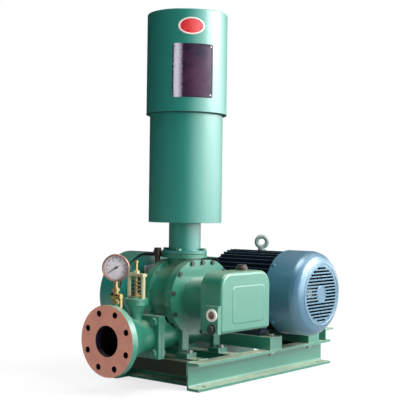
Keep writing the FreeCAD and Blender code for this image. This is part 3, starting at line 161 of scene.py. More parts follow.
def lightStudio():
    world = bpy.data.worlds.new("whiteStudio")
    world.use_nodes = True
    bpy.context.scene.world = world
    tree = world.node_tree
    tree.nodes.clear()
    direction = addNode(tree, "TexCoord").outputs["Generated"]
    side = dot(tree, direction, studio["lampSide"])
    soft = remap(tree, side, -1.0, 1.0, *studio["ambient"])
    mirror = remap(tree, side, *studio["mirrorSpread"], *studio["mirror"])
    away = dot(tree, direction, studio["behind"])
    away = remap(tree, away, *studio["behindSpread"], 1.0, studio["behindDim"])
    mirror = calc(tree, "MULTIPLY", mirror, away)
    climb = calc(tree, "ABSOLUTE", dot(tree, direction, (0, 0, 1)))
    climb = remap(tree, climb, *studio["climbSpread"], 1.0, studio["climbDim"])
    mirror = calc(tree, "MULTIPLY", mirror, climb)
    path = addNode(tree, "LightPath").outputs
    shiny = calc(tree, "MAXIMUM", path["Is Glossy Ray"], path["Is Transmission Ray"])
    level = addNode(tree, "Mix", {0: shiny, 2: soft, 3: mirror}, data_type="FLOAT").outputs[0]
    strength = calc(tree, "MAXIMUM", level, path["Is Camera Ray"])
    background = addNode(tree, "Background", {"Color": (1, 1, 1), "Strength": strength})
    addNode(tree, "OutputWorld", {0: background.outputs[0]})
    for name, (place, (wide, high), power, mirrored) in lamps.items():
        lamp = bpy.data.lights.new(name, "AREA")
        lamp.shape = "RECTANGLE"
        lamp.size, lamp.size_y = wide, high
        lamp.energy = power
        holder = bpy.data.objects.new(name, lamp)
        holder.location = place
        holder.visible_glossy = mirrored
        look = Vector(studio["aim"]) - holder.location
        holder.rotation_euler = look.to_track_quat("-Z", "Y").to_euler()
        collection.objects.link(holder)


def layFloor():
    mesh = bpy.data.meshes.new("studioFloor")
    reach = studio["floorReach"]
    corners = [(-reach, -reach, 0), (reach, -reach, 0), (reach, reach, 0), (-reach, reach, 0)]
    mesh.from_pydata(corners, [], [(0, 1, 2, 3)])
    floor = bpy.data.objects.new("studioFloor", mesh)
    floor.location.z = -studio["floorDrop"]
    collection.objects.link(floor)
    paint = bpy.data.materials.new("studioFloor")
    paint.use_nodes = True
    tree = paint.node_tree
    tree.nodes.clear()
    seen = addNode(tree, "LightPath").outputs["Is Camera Ray"]
    colour = mixColour(tree, seen, studio["floorBounce"], studio["floorPaint"])
    matte = addNode(tree, "BsdfPrincipled", {"Base Color": colour, "Roughness": 0.8, "Specular IOR Level": 0.1})
    glow = addNode(tree, "Emission", {"Color": (1, 1, 1)})
    # the shadow shows near the object, and the floor fades to white further out
    distance = vectorCalc(tree, "LENGTH", objectPlace(tree))
    fade = remap(tree, distance, *studio["floorFade"], 1 - studio["floorShow"], 1.0)
    amount = calc(tree, "MULTIPLY", seen, fade)
    blend = addNode(tree, "MixShader", {0: amount, 1: matte.outputs[0], 2: glow.outputs[0]})
    addNode(tree, "OutputMaterial", {0: blend.outputs[0]})
    mesh.materials.append(paint)


placeCamera()
lightStudio()
layFloor()
bpy.context.scene.view_settings.view_transform = "Standard"
print("camera, lamps and floor set")


# shared surface effects, as node groups; scales are per metre
def newGroup(name, inputs, outputs):
    group = bpy.data.node_groups.new(name, "ShaderNodeTree")
    for label, default in inputs.items():
        colour = isinstance(default, tuple)
        kind = "NodeSocketColor" if colour else "NodeSocketFloat"
        socket = group.interface.new_socket(name=label, in_out="INPUT", socket_type=kind)
        socket.default_value = (*default, 1) if colour else default
    for label in outputs:
        kind = "NodeSocketColor" if label == "Colour" else "NodeSocketFloat"
        group.interface.new_socket(name=label, in_out="OUTPUT", socket_type=kind)
    return group, group.nodes.new("NodeGroupInput").outputs, group.nodes.new("NodeGroupOutput").inputs


enamelLook = {"cloudScale": 9.0, "fineScale": 420.0, "patchScale": 55.0, "edgeWidth": 0.0022,
              "dustRough": 0.5, "patchRough": 0.16, "roughest": 0.9, "rubDepth": 0.4}
castLook = {"pitScale": 230.0, "pitDepth": 0.6, "lumpScale": 38.0}
toolLook = {"stretch": (1.0, 14.0, 14.0), "markScale": 120.0, "markRough": 0.16, "blotchScale": 30.0,
            "stainRough": 0.25}


def makeEnamelCoat():
    # brushed and sprayed machine enamel: cloudy tone, paler edges that are partly rubbed wear and partly
    # painted highlight, settled dust, orange peel
    group, given, result = newGroup(
        "enamelCoat",
        {"Paint": (0.02, 0.26, 0.16), "Bare": (0.5, 0.56, 0.5), "Dust": (0.72, 0.74, 0.54), "Cloud": 0.18,
         "Rub": 0.5, "Settled": 0.2, "Gloss": 0.3, "Peel": 0.3},
        ("Colour", "Roughness", "Height"))
    place = objectPlace(group)
    normal = addNode(group, "NewGeometry").outputs["Normal"]
    cloudy = grain(group, place, enamelLook["cloudScale"], 4.0)
    fine = grain(group, place, enamelLook["fineScale"], 2.0)
    patchy = grain(group, place, enamelLook["patchScale"], 5.0, 0.7)
    rounded = addNode(group, "Bevel", {"Radius": enamelLook["edgeWidth"]}, samples=4).outputs[0]
    edge = remap(group, dot(group, rounded, normal), 0.995, 0.86)
    broken = remap(group, patchy, 0.42, 0.62)
    # edges take the edge colour: partly rubbed wear, partly painted highlight
    edgeWearAndHighlightMask = calc(group, "MULTIPLY", calc(group, "MULTIPLY", edge, broken), given["Rub"], clamp=True)
    tone = calc(group, "MULTIPLY", calc(group, "SUBTRACT", cloudy, 0.5), given["Cloud"])
    sockets = {"Color": given["Paint"], "Value": calc(group, "ADD", tone, 1.0)}
    bright = addNode(group, "HueSaturation", sockets).outputs[0]
    upward = remap(group, dot(group, normal, (0, 0, 1)), 0.55, 1.0)
    settled = calc(group, "MULTIPLY", calc(group, "MULTIPLY", upward, given["Settled"]),
                   remap(group, patchy, 0.3, 0.7, 0.55, 1.0))
    dusty = mixColour(group, settled, bright, given["Dust"])
    plug(group, mixColour(group, edgeWearAndHighlightMask, dusty, given["Bare"]), result["Colour"])
    dull = calc(group, "MULTIPLY", settled, enamelLook["dustRough"])
    uneven = calc(group, "MULTIPLY", calc(group, "SUBTRACT", patchy, 0.5), enamelLook["patchRough"])
    rough = calc(group, "ADD", calc(group, "ADD", given["Gloss"], dull), uneven)
    plug(group, calc(group, "MINIMUM", rough, enamelLook["roughest"]), result["Roughness"])
    peel = calc(group, "MULTIPLY", fine, given["Peel"])
    sunk = calc(group, "MULTIPLY", edgeWearAndHighlightMask, enamelLook["rubDepth"])
    plug(group, calc(group, "SUBTRACT", peel, sunk), result["Height"])
    return group


def makeSandGrain():
    # sand-cast skin under paint
    group, given, result = newGroup("sandGrain", {"Coarse": 1.0}, ("Height",))
    place = objectPlace(group)
    pits = addNode(group, "TexVoronoi", {"Vector": place, "Scale": castLook["pitScale"]}, feature="SMOOTH_F1")
    pitted = calc(group, "MULTIPLY", pits.outputs["Distance"], castLook["pitDepth"])
    skin = calc(group, "ADD", pitted, grain(group, place, castLook["lumpScale"], 4.0))
    plug(group, calc(group, "MULTIPLY", skin, given["Coarse"]), result["Height"])
    return group


def makeToolMarks():
    # turned, milled or drawn metal: fine parallel marks across the stretch direction, with stains
    group, given, result = newGroup(
        "toolMarks",
        {"Metal": (0.6, 0.6, 0.58), "Stain": (0.3, 0.25, 0.2), "Stained": 0.3, "Gloss": 0.3},
        ("Colour", "Roughness", "Height"))
    place = objectPlace(group)
    stretched = addNode(group, "Mapping", {"Vector": place, "Scale": toolLook["stretch"]}).outputs[0]
    marks = grain(group, stretched, toolLook["markScale"])
    blotch = remap(group, grain(group, place, toolLook["blotchScale"], 5.0, 0.65), 0.45, 0.72)
    stained = calc(group, "MULTIPLY", blotch, given["Stained"])
    plug(group, mixColour(group, stained, given["Metal"], given["Stain"]), result["Colour"])
    rough = calc(group, "ADD", given["Gloss"], calc(group, "MULTIPLY", marks, toolLook["markRough"]))
    dull = calc(group, "MULTIPLY", stained, toolLook["stainRough"])
    plug(group, calc(group, "ADD", rough, dull), result["Roughness"])
    plug(group, marks, result["Height"])
    return group


enamelCoat = makeEnamelCoat()
sandGrain = makeSandGrain()
toolMarks = makeToolMarks()


# finishes, kept by name
finishes = {}


def newFinish(name, settings):
    finish = bpy.data.materials.new(name)
    finish.use_nodes = True
    finishes[name] = finish
    tree = finish.node_tree
    shader = tree.nodes["Principled BSDF"]
    for key, value in settings.items():
        plug(tree, value, shader.inputs[key])
    return tree, shader


def cover(tree, shader, colour, rough):
    plug(tree, colour, shader.inputs["Base Color"])
    plug(tree, rough, shader.inputs["Roughness"])


def bump(tree, height, strength, distance, shader, first=None):
    sockets = {"Strength": strength, "Distance": distance, "Height": height, "Normal": first}
    bent = addNode(tree, "Bump", sockets).outputs[0]
    plug(tree, bent, shader.inputs["Normal"])
    return bent


def enamel(name, paint, edgeWearAndHighlightColour, cloud=0.2, edgeWearAndHighlight=0.5, settled=0.15, gloss=0.3, peel=0.25, coarse=0.0, coat=0.5,
           metallic=0.0, specular=0.6):
    tree, shader = newFinish(name, {"Coat Weight": coat, "Coat Roughness": 0.3, "Metallic": metallic,
                                    "Specular IOR Level": specular})
    skin = addNode(tree, "Group", {"Paint": paint, "Bare": edgeWearAndHighlightColour, "Cloud": cloud, "Rub": edgeWearAndHighlight, "Settled": settled,
                                   "Gloss": gloss, "Peel": peel}, node_tree=enamelCoat).outputs
    cover(tree, shader, skin["Colour"], skin["Roughness"])
    first = None
    if coarse:
        sand = addNode(tree, "Group", {"Coarse": coarse}, node_tree=sandGrain).outputs[0]
        first = bump(tree, sand, 0.35, 0.0012, shader)
    bump(tree, skin["Height"], 0.25, 0.0004, shader, first)


def metal(name, colour, stain, stained=0.25, gloss=0.25, metallic=1.0):
    tree, shader = newFinish(name, {"Metallic": metallic})
    marks = addNode(tree, "Group", {"Metal": colour, "Stain": stain, "Stained": stained, "Gloss": gloss},
                    node_tree=toolMarks).outputs
    cover(tree, shader, marks["Colour"], marks["Roughness"])
    bump(tree, marks["Height"], 0.3, 0.0002, shader)


teal = (0.014, 0.19, 0.122)
paleGreen = (0.42, 0.6, 0.45)
enamels = {
    # the edge colour is what shows at the edges, partly rubbed wear and partly painted highlight; the rest is
    # given where it differs from plain enamel
    "castTeal": dict(paint=teal, edgeWearAndHighlightColour=paleGreen, edgeWearAndHighlight=0.55, settled=0.3, gloss=0.42, coarse=0.9, specular=1.0),
    "caseTeal": dict(paint=teal, edgeWearAndHighlightColour=paleGreen, edgeWearAndHighlight=0.55, settled=0.3, gloss=0.42, coarse=0.7, coat=1.0,
        specular=1.0),
    "sheetTeal": dict(paint=(0.013, 0.215, 0.172), edgeWearAndHighlightColour=paleGreen, cloud=0.08, edgeWearAndHighlight=0.25, settled=0.12,
        gloss=0.4, peel=0.12, coat=0.6, specular=1.0),
    "rolledTeal": dict(paint=teal, edgeWearAndHighlightColour=(0.72, 0.74, 0.5), edgeWearAndHighlight=1.0, settled=0.8, gloss=0.42, coarse=0.35,
        coat=0.8, specular=1.0),
    # painted shadow: near-black for the shadow line under the hood's lip
    "paintedHemShadow": dict(paint=(0.004, 0.03, 0.024), edgeWearAndHighlightColour=(0.02, 0.07, 0.05), gloss=0.6, coat=0.0, specular=0.3),
    # painted shade: the end cross members are painted near-black brown for the shade they stand in
    "paintedShadeTeal": dict(paint=(0.016, 0.022, 0.011), edgeWearAndHighlightColour=(0.16, 0.16, 0.1), edgeWearAndHighlight=0.5, settled=0.15, gloss=0.5,
        coarse=0.4, coat=0.1, specular=0.3),
    # painted shade: near-black for bores, bolt holes, the rotor chamber and louvre openings
    "paintedBoreShade": dict(paint=(0.012, 0.008, 0.02), edgeWearAndHighlightColour=(0.03, 0.025, 0.04), gloss=0.7, coat=0.0, specular=0.2),
    "creamPaint": dict(paint=(0.54, 0.52, 0.31), edgeWearAndHighlightColour=(0.32, 0.28, 0.17), edgeWearAndHighlight=0.6, settled=0.2, coarse=0.4),
    "eyePaint": dict(paint=(0.21, 0.28, 0.27), edgeWearAndHighlightColour=(0.4, 0.42, 0.4), gloss=0.45, coat=0.2, coarse=0.3),
    "navyPaint": dict(paint=(0.008, 0.02, 0.038), edgeWearAndHighlightColour=(0.12, 0.2, 0.28), edgeWearAndHighlight=0.4, settled=0.06, gloss=0.42,
        coarse=0.5, coat=0.2, specular=0.4),
    "cowlPaint": dict(paint=(0.062, 0.178, 0.275), edgeWearAndHighlightColour=(0.6, 0.66, 0.68), cloud=0.1, edgeWearAndHighlight=0.12, settled=0.1,
        gloss=0.34, peel=0.1, metallic=0.2, coat=0.8, specular=1.0),
    "brownPlastic": dict(paint=(0.035, 0.018, 0.014), edgeWearAndHighlightColour=(0.16, 0.1, 0.08), gloss=0.35),
    "blackPlastic": dict(paint=(0.008, 0.009, 0.009), edgeWearAndHighlightColour=(0.08, 0.09, 0.09), gloss=0.4),
    "beltRubber": dict(paint=(0.012, 0.012, 0.012), edgeWearAndHighlightColour=(0.05, 0.05, 0.05), gloss=0.6, coat=0.0, specular=0.3),
    "gasketSheet": dict(paint=(0.05, 0.055, 0.05), edgeWearAndHighlightColour=(0.12, 0.12, 0.1), gloss=0.7, coat=0.0, specular=0.3),
    "filterPaper": dict(paint=(0.5, 0.42, 0.26), edgeWearAndHighlightColour=(0.6, 0.55, 0.4), gloss=0.85, coat=0.0, specular=0.2),
    "dialInk": dict(paint=(0.09, 0.08, 0.16), edgeWearAndHighlightColour=(0.1, 0.1, 0.16), gloss=0.5, coat=0.0),
    "needleBlack": dict(paint=(0.006, 0.006, 0.01), edgeWearAndHighlightColour=(0.02, 0.02, 0.03), gloss=0.4, coat=0.0, specular=0.3),
    "paleRim": dict(paint=(0.78, 0.72, 0.66), edgeWearAndHighlightColour=(0.9, 0.9, 0.88), cloud=0.1, gloss=0.3),
    "bareLabel": dict(paint=(0.72, 0.7, 0.78), edgeWearAndHighlightColour=(0.8, 0.8, 0.82), cloud=0.1, gloss=0.4),
}
metals = {
    # stain is the colour of its blotches
    "bezelCopper": dict(colour=(0.42, 0.24, 0.2), stain=(0.22, 0.12, 0.1), gloss=0.3, metallic=0.8),
    "zincSteel": dict(colour=(0.62, 0.64, 0.62), stain=(0.35, 0.34, 0.28), gloss=0.3),
    "turnedSteel": dict(colour=(0.6, 0.6, 0.58), stain=(0.35, 0.3, 0.24), gloss=0.22),
    "greyIron": dict(colour=(0.28, 0.28, 0.28), stain=(0.14, 0.11, 0.09), stained=0.4, gloss=0.42),
    "yellowBrass": dict(colour=(0.62, 0.48, 0.22), stain=(0.34, 0.2, 0.08), stained=0.4, gloss=0.34),
    "darkSteel": dict(colour=(0.1, 0.11, 0.1), stain=(0.05, 0.05, 0.04), gloss=0.42, metallic=0.8),
    "dullZinc": dict(colour=(0.38, 0.41, 0.38), stain=(0.2, 0.2, 0.16), gloss=0.42, metallic=0.9),
    "springSteel": dict(colour=(0.3, 0.27, 0.2), stain=(0.2, 0.15, 0.1), gloss=0.42, metallic=0.8),
    "copperWinding": dict(colour=(0.5, 0.22, 0.1), stain=(0.2, 0.09, 0.05), gloss=0.35, metallic=0.8),
}
for name, look in enamels.items():
    enamel(name, **look)
for name, look in metals.items():
    metal(name, **look)

outlet = {"y": -0.011, "z": 0.147, "faceX": -0.546, "backX": -0.5255, "boltHoles": (0.068, 0.094),
          # throat: up to this x, painted shade within this radius
          "throat": ((-0.49, 0.0795), (-0.475, 0.071), (-0.44, 0.06), (-0.2, 0.05), (9, 0.0)),
          "ringPitch": 0.0021, "ringShade": (0.4, 0.15, 0.1), "scuff": (0.84, 0.5, 0.36),
          "primer": ((0.78, 0.33, 0.225), (0.66, 0.28, 0.22))}
hood = {"x": -0.205, "y": 0.0, "radius": 0.122, "low": 0.7995}
badge = {"angle": 44.0, "z": 1.052, "half": (0.040, 0.0255), "proud": 0.0012}
plate = {"angle": 40.6, "span": 58.8, "low": 0.843, "high": 1.001, "corner": 0.006, "proud": 0.0011,
         "rivet": 0.0024, "rivetInset": 0.008, "foil": ((0.014, 0.008, 0.028), (0.06, 0.02, 0.05)),
         # the pale colour is a painted reflection down one side of the plate
         "worn": (0.74, 0.7, 0.82)}
glass = {"clear": ((0.9, 0.95, 0.95), (0.75, 0.82, 0.84)), "oil": ((0.1, 0.018, 0.014), (0.16, 0.03, 0.02)),
         "aboveOil": (0.22, 0.1, 0.08), "oilLevel": (0.212, 0.224)}


def makeFlangeFace():
    # primed raised face of the round flange, with turned rings about the outlet axis
    tree, shader = newFinish("primedFace", {"Specular IOR Level": 0.35})
    place = objectPlace(tree)
    centred = vectorCalc(tree, "SUBTRACT", place, (0, outlet["y"], outlet["z"]))
    fromAxis = vectorCalc(tree, "LENGTH", vectorCalc(tree, "MULTIPLY", centred, (0, 1, 1)))
    rings = calc(tree, "SINE", calc(tree, "MULTIPLY", fromAxis, 2 * pi / outlet["ringPitch"]))
    rings = calc(tree, "MULTIPLY_ADD", rings, 0.5, 0.5)
    cloud = grain(tree, place, 26.0, 5.0, 0.62)
    warm = mixColour(tree, remap(tree, cloud, 0.35, 0.68), *outlet["primer"])
    scuffs = remap(tree, grain(tree, place, 90.0, 4.0), 0.58, 0.75, 0.0, 0.6)
    scuffed = mixColour(tree, scuffs, warm, outlet["scuff"])
    ringed = mixColour(tree, calc(tree, "MULTIPLY", rings, 0.12), scuffed, outlet["ringShade"])
    cover(tree, shader, ringed, remap(tree, cloud, 0.3, 0.7, 0.45, 0.65))
    bump(tree, rings, 0.5, 0.0003, shader)


def makeDarkPlate():
    # dark printed foil with a painted reflection, a pale silvery band down one side, angle measured round the
    # hood
    tree, shader = newFinish("darkPlate", {"Specular IOR Level": 0.25})
    place = objectPlace(tree)
    parted = addNode(tree, "SeparateXYZ", {0: place}).outputs
    across = calc(tree, "SUBTRACT", hood["x"], parted["X"])
    towards = calc(tree, "MULTIPLY", parted["Y"], -1.0)
    ragged = calc(tree, "MULTIPLY", calc(tree, "SUBTRACT", grain(tree, place, 260.0, 4.0), 0.5), 0.12)
    turned = calc(tree, "ADD", calc(tree, "ARCTAN2", across, towards), ragged)
    edge = radians(plate["angle"] + plate["span"] / 2)
    worn = calc(tree, "MULTIPLY", remap(tree, turned, edge - 0.26, edge - 0.13),
                remap(tree, turned, edge - 0.02, edge - 0.055))
    haze = remap(tree, grain(tree, place, 18.0, 3.0), 0.35, 0.65)
    colour = mixColour(tree, worn, mixColour(tree, haze, *plate["foil"]), plate["worn"])
    cover(tree, shader, colour, remap(tree, grain(tree, place, 140.0, 3.0), 0.3, 0.7, 0.3, 0.45))
    bump(tree, grain(tree, place, 60.0, 2.0), 0.15, 0.0006, shader)


prints = {
    "badgeField": dict(settings={"Coat Weight": 0.8, "Coat Roughness": 0.08},
                       colours=((0.62, 0.018, 0.045), (0.72, 0.06, 0.05)), cloudScale=40.0,
                       spread=(0.35, 0.65), rough=(0.25, 0.35), grainScale=300.0, strength=0.1, depth=0.0003),
    "dialFace": dict(settings={"Specular IOR Level": 0.3}, colours=((0.97, 0.94, 1.0), (0.93, 0.9, 0.98)),
                     cloudScale=50.0, spread=(0.3, 0.7), rough=(0.5, 0.6), grainScale=500.0, strength=0.08,
                     depth=0.0002),
}


def makePrint(name, settings, colours, cloudScale, spread, rough, grainScale, strength, depth):
    tree, shader = newFinish(name, settings)
    place = objectPlace(tree)
    cloud = remap(tree, grain(tree, place, cloudScale, 3.0), *spread)
    cover(tree, shader, mixColour(tree, cloud, *colours), remap(tree, cloud, 0.0, 1.0, *rough))
    bump(tree, grain(tree, place, grainScale, 2.0), strength, depth, shader)


def makeClearGlass():
    tree, shader = newFinish("clearGlass", {"Specular IOR Level": 0.7})
    smear = grain(tree, objectPlace(tree), 35.0, 4.0)
    cover(tree, shader, mixColour(tree, smear, *glass["clear"]), remap(tree, smear, 0.3, 0.7, 0.04, 0.14))
    plug(tree, remap(tree, smear, 0.3, 0.7, 0.02, 0.07), shader.inputs["Alpha"])


def makeOilGlass():
    tree, shader = newFinish("oilGlass", {"Coat Weight": 1.0, "Coat Roughness": 0.03})
    place = objectPlace(tree)
    parted = addNode(tree, "SeparateXYZ", {0: place}).outputs
    level = remap(tree, parted["Z"], *glass["oilLevel"])
    swirl = grain(tree, place, 150.0, 3.0)
    colour = mixColour(tree, level, mixColour(tree, swirl, *glass["oil"]), glass["aboveOil"])
    cover(tree, shader, colour, remap(tree, swirl, 0.3, 0.7, 0.1, 0.25))


makeFlangeFace()
makeDarkPlate()
for name, look in prints.items():
    makePrint(name, **look)
makeClearGlass()
makeOilGlass()
print("finishes made:", len(finishes))


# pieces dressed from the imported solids; distances in metres, angles in degrees
care = {"joinWithin": 2e-5, "flatWithin": 0.6, "sharp": 34, "bevelSteps": 2, "flatWeight": 80}


def finishMesh(mesh, sharp):
    for name in ("custom_normal", "sharp_face"):
        if name in mesh.attributes:
            mesh.attributes.remove(mesh.attributes[name])
    mesh.shade_smooth()
    mesh.set_sharp_from_angle(angle=radians(sharp))


def softenEdges(piece, width, sharp):
    bevel = piece.modifiers.new("softEdges", "BEVEL")
    bevel.limit_method = "ANGLE"
    bevel.angle_limit = radians(sharp)
    bevel.width = width
    bevel.segments = care["bevelSteps"]
    bevel.use_clamp_overlap = True
    bevel.miter_outer = "MITER_ARC"
    shading = piece.modifiers.new("flatFaces", "WEIGHTED_NORMAL")
    shading.keep_sharp = True
    shading.weight = care["flatWeight"]


def pieceName(node):
    # front_rail becomes frontRail
    first, *rest = node.split("_")
    return "rotorCasing" if node == "casing" else first + "".join(word.capitalize() for word in rest)


def dress(node, finish, edge, merge=True):
    name = pieceName(node)
    mesh = nodes[node].data.copy()
    mesh.name = name
    mesh.materials.clear()
    mesh.materials.append(finishes[finish])
    work = bmesh.new()
    work.from_mesh(mesh)
    bmesh.ops.remove_doubles(work, verts=work.verts, dist=care["joinWithin"])
    if merge:
        flat = radians(care["flatWithin"])
        bmesh.ops.dissolve_limit(work, angle_limit=flat, verts=work.verts, edges=work.edges)
    work.to_mesh(mesh)
    work.free()
    finishMesh(mesh, care["sharp"])
    piece = bpy.data.objects.new(name, mesh)
    collection.objects.link(piece)
    softenEdges(piece, edge, care["sharp"])
    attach(piece, bodyOf[node])
    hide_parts(node)
    return piece


def repaint(node, finish):
    for holder in nodes[node].material_slots:
        holder.link = "OBJECT"
        holder.material = finishes[finish]


dressed = {
    # finish, width of the softened edges, and whether flat facets merge
    "front_rail": ("rolledTeal", 0.0016),
    "rear_rail": ("rolledTeal", 0.0016),
    # the end cross members carry painted shade
    "end_cross_members": ("paintedShadeTeal", 0.0014),
    "blower_beams": ("rolledTeal", 0.0014),
    "motor_beams": ("rolledTeal", 0.0014),
    "tension_bracket": ("rolledTeal", 0.0012),
    "casing": ("castTeal", 0.0014),
    "gear_end_plate": ("caseTeal", 0.0016),
    "drive_end_plate": ("castTeal", 0.0016),
    "gear_case": ("caseTeal", 0.0016),
    "drive_end_cover": ("castTeal", 0.0016),
    "discharge_tee": ("castTeal", 0.0012),
    "inlet_neck": ("sheetTeal", 0.0012),
    "silencer_shell": ("sheetTeal", 0.0009),
    "silencer_hood": ("sheetTeal", 0.0009),
    "filter_element": ("filterPaper", 0.0006),
    "belt_guard": ("sheetTeal", 0.001),
    "guard_plate": ("sheetTeal", 0.0008),
    "guard_brackets": ("rolledTeal", 0.0008),
    "relief_base": ("castTeal", 0.0009),
    "relief_yoke": ("creamPaint", 0.0008),
    "relief_disc": ("yellowBrass", 0.0005),
    "gauge_cock": ("yellowBrass", 0.0005),
    "cock_lever": ("yellowBrass", 0.0005),
    "motor_frame": ("navyPaint", 0.0007),
    "motor_end_shields": ("navyPaint", 0.0009),
    "fan_cowl": ("cowlPaint", 0.0005, False),
    "terminal_box": ("navyPaint", 0.001),
    "terminal_lid": ("navyPaint", 0.001),
    "cable_gland": ("blackPlastic", 0.0006),
    "cooling_fan": ("blackPlastic", 0.0005),
    "oil_caps": ("brownPlastic", 0.0009),
    "drain_plug": ("blackPlastic", 0.0008),
    "sight_glass_ring": ("paleRim", 0.0006),
    "eye_bolt": ("eyePaint", 0.0006),
    "cover_bolts": ("darkSteel", 0.0005),
    "flange_bolts": ("castTeal", 0.0006),
    "mounting_bolts": ("dullZinc", 0.0006),
    "shaft_seal": ("beltRubber", 0.0004),
}
kept = {
    "blower_pulley": "greyIron", "motor_pulley": "greyIron", "drive_belts": "beltRubber",
    "drive_gear": "turnedSteel", "driven_gear": "turnedSteel", "drive_rotor": "greyIron",
    "driven_rotor": "greyIron", "motor_rotor": "turnedSteel", "motor_stator": "copperWinding",
    "rotor_bearings": "turnedSteel", "flange_gaskets": "gasketSheet", "sight_glass": "oilGlass",
    "gauge_lens": "clearGlass", "gauge_pointer": "needleBlack", "tension_screws": "zincSteel",
    "gauge_case": "bezelCopper", "gauge_dial": "dialFace",
}
dressedPieces = {node: dress(node, *how) for node, how in dressed.items()}
for node, finish in kept.items():
    repaint(node, finish)
print("pieces dressed:", len(dressedPieces), "and repainted:", len(kept))


# within this radius of each shaft the chamber wall gets painted shade
rotorBores = {"axes": ((-0.253, 0.252), (-0.157, 0.252)), "radius": 0.066}


def shadeBores():
    # the round flange has a primed face; its bores, bolt holes and the rotor chamber are painted dark inside as
    # painted shade
    for node in ("discharge_tee", "casing"):
        mesh = dressedPieces[node].data
        mesh.materials.append(finishes["paintedBoreShade"])
        mesh.materials.append(finishes["primedFace"])
        for face in mesh.polygons:
            middle, normal = face.center, face.normal
            across, up = middle.y - outlet["y"], middle.z - outlet["z"]
            fromAxis = hypot(across, up)
            inward = (normal.y * across + normal.z * up) < -0.3 * fromAxis
            throat = next(radius for limit, radius in outlet["throat"] if middle.x < limit)
            nearest, furthest = outlet["boltHoles"]
            if middle.x < outlet["faceX"] + 0.0006 and normal.x < -0.9:
                face.material_index = 2
            elif fromAxis < throat and inward:
                face.material_index = 1
            elif middle.x < outlet["backX"] and nearest < fromAxis < furthest and abs(normal.x) < 0.5:
                face.material_index = 1
            elif node == "casing":
                for shaftX, shaftZ in rotorBores["axes"]:
                    outX, outZ = middle.x - shaftX, middle.z - shaftZ
                    fromShaft = hypot(outX, outZ)
                    inward = normal.x * outX + normal.z * outZ < -0.5 * fromShaft
                    if fromShaft < rotorBores["radius"] and inward:
                        face.material_index = 1


shadeBores()


# pieces built in mesh code
def addPiece(name, work, *finish, body="blower_set", sharp=40, stands=()):
    bmesh.ops.recalc_face_normals(work, faces=work.faces)
    mesh = bpy.data.meshes.new(name)
    work.to_mesh(mesh)
    work.free()
    for each in finish:
        mesh.materials.append(finishes[each])
    finishMesh(mesh, sharp)
    piece = bpy.data.objects.new(name, mesh)
    collection.objects.link(piece)
    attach(piece, body)
    if stands:
        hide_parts(*stands)
    return piece


def axes(along):
    along = Vector(along).normalized()
    first = along.orthogonal().normalized()
    return along, first, along.cross(first)


def around(first, second, turn):
    return first * cos(turn) + second * sin(turn)


def bridge(work, rows, finish=0):
    # joins closed rows of corners, each to the next
    for lower, upper in zip(rows, rows[1:]):
        count = len(lower)
        for k in range(count):
            n = (k + 1) % count
            work.faces.new((lower[k], lower[n], upper[n], upper[k])).material_index = finish


def lathe(work, profile, place, along, steps):
    # profile: height along the axis and radius, from one end to the other; both ends are closed
    along, first, second = axes(along)
    turns = [2 * pi * k / steps for k in range(steps)]
    rows = [[work.verts.new(Vector(place) + along * height + around(first, second, turn) * radius)
             for turn in turns] for height, radius in profile]
    bridge(work, rows)
    work.faces.new(rows[0])
    work.faces.new(rows[-1])


def ringLathe(work, profile, place, along, steps):
    # a closed profile that goes round the axis
    along, first, second = axes(along)
    rows = []
    for k in range(steps):
        out = around(first, second, 2 * pi * k / steps)
        rows.append([work.verts.new(Vector(place) + along * height + out * radius)
                     for height, radius in profile])
    bridge(work, rows + rows[:1])


def circleProfile(radius, height, wire, sides=10):
    turns = [2 * pi * k / sides for k in range(sides)]
    return [(height + wire * sin(turn), radius + wire * cos(turn)) for turn in turns]


def tube(work, path, radius, sides, closed=False):
    # radius is a number or one number for each point
    rows = []
    count = len(path)
    radii = radius if isinstance(radius, list) else [radius] * count
    side = None
    for k, point in enumerate(path):
        before = path[k - 1] if k or closed else point
        after = path[(k + 1) % count] if k < count - 1 or closed else point
        heading = (after - before).normalized()
        if side is None:
            side = heading.orthogonal().normalized()
        side = (side - heading * side.dot(heading)).normalized()
        other = heading.cross(side)
        rows.append([work.verts.new(point + around(side, other, turn) * radii[k])
                     for turn in (2 * pi * n / sides for n in range(sides))])
    bridge(work, rows + rows[:1] if closed else rows)
    if not closed:
        work.faces.new(rows[0])
        work.faces.new(rows[-1])


beadLook = {"seed": 4, "ripple": 0.0045, "wander": 0.25, "narrow": 0.78, "uneven": 0.18, "end": 0.6}


def weldPath(work, path, wire):
    # a hand-laid bead: short steps, an uneven width and a small wander
    points, radii = [], []
    for first, second in zip(path, path[1:]):
        first, second = Vector(first), Vector(second)
        steps = max(2, int((second - first).length / beadLook["ripple"] * 2))
        for k in range(steps):
            point = first.lerp(second, k / steps)
            points.append(point + noise.noise_vector(point * 90) * wire * beadLook["wander"])
            width = 1.0 if k % 2 else beadLook["narrow"]
            radii.append(wire * width * (1 + beadLook["uneven"] * noise.noise(point * 140)))
    points.append(Vector(path[-1]))
    radii.append(wire * beadLook["end"])
    tube(work, points, radii, 6)


def ringPath(centre, along, radius, steps):
    along, first, second = axes(along)
    turns = [radians(360 * k / steps) for k in range(steps + 1)]
    return [Vector(centre) + around(first, second, turn) * radius for turn in turns]


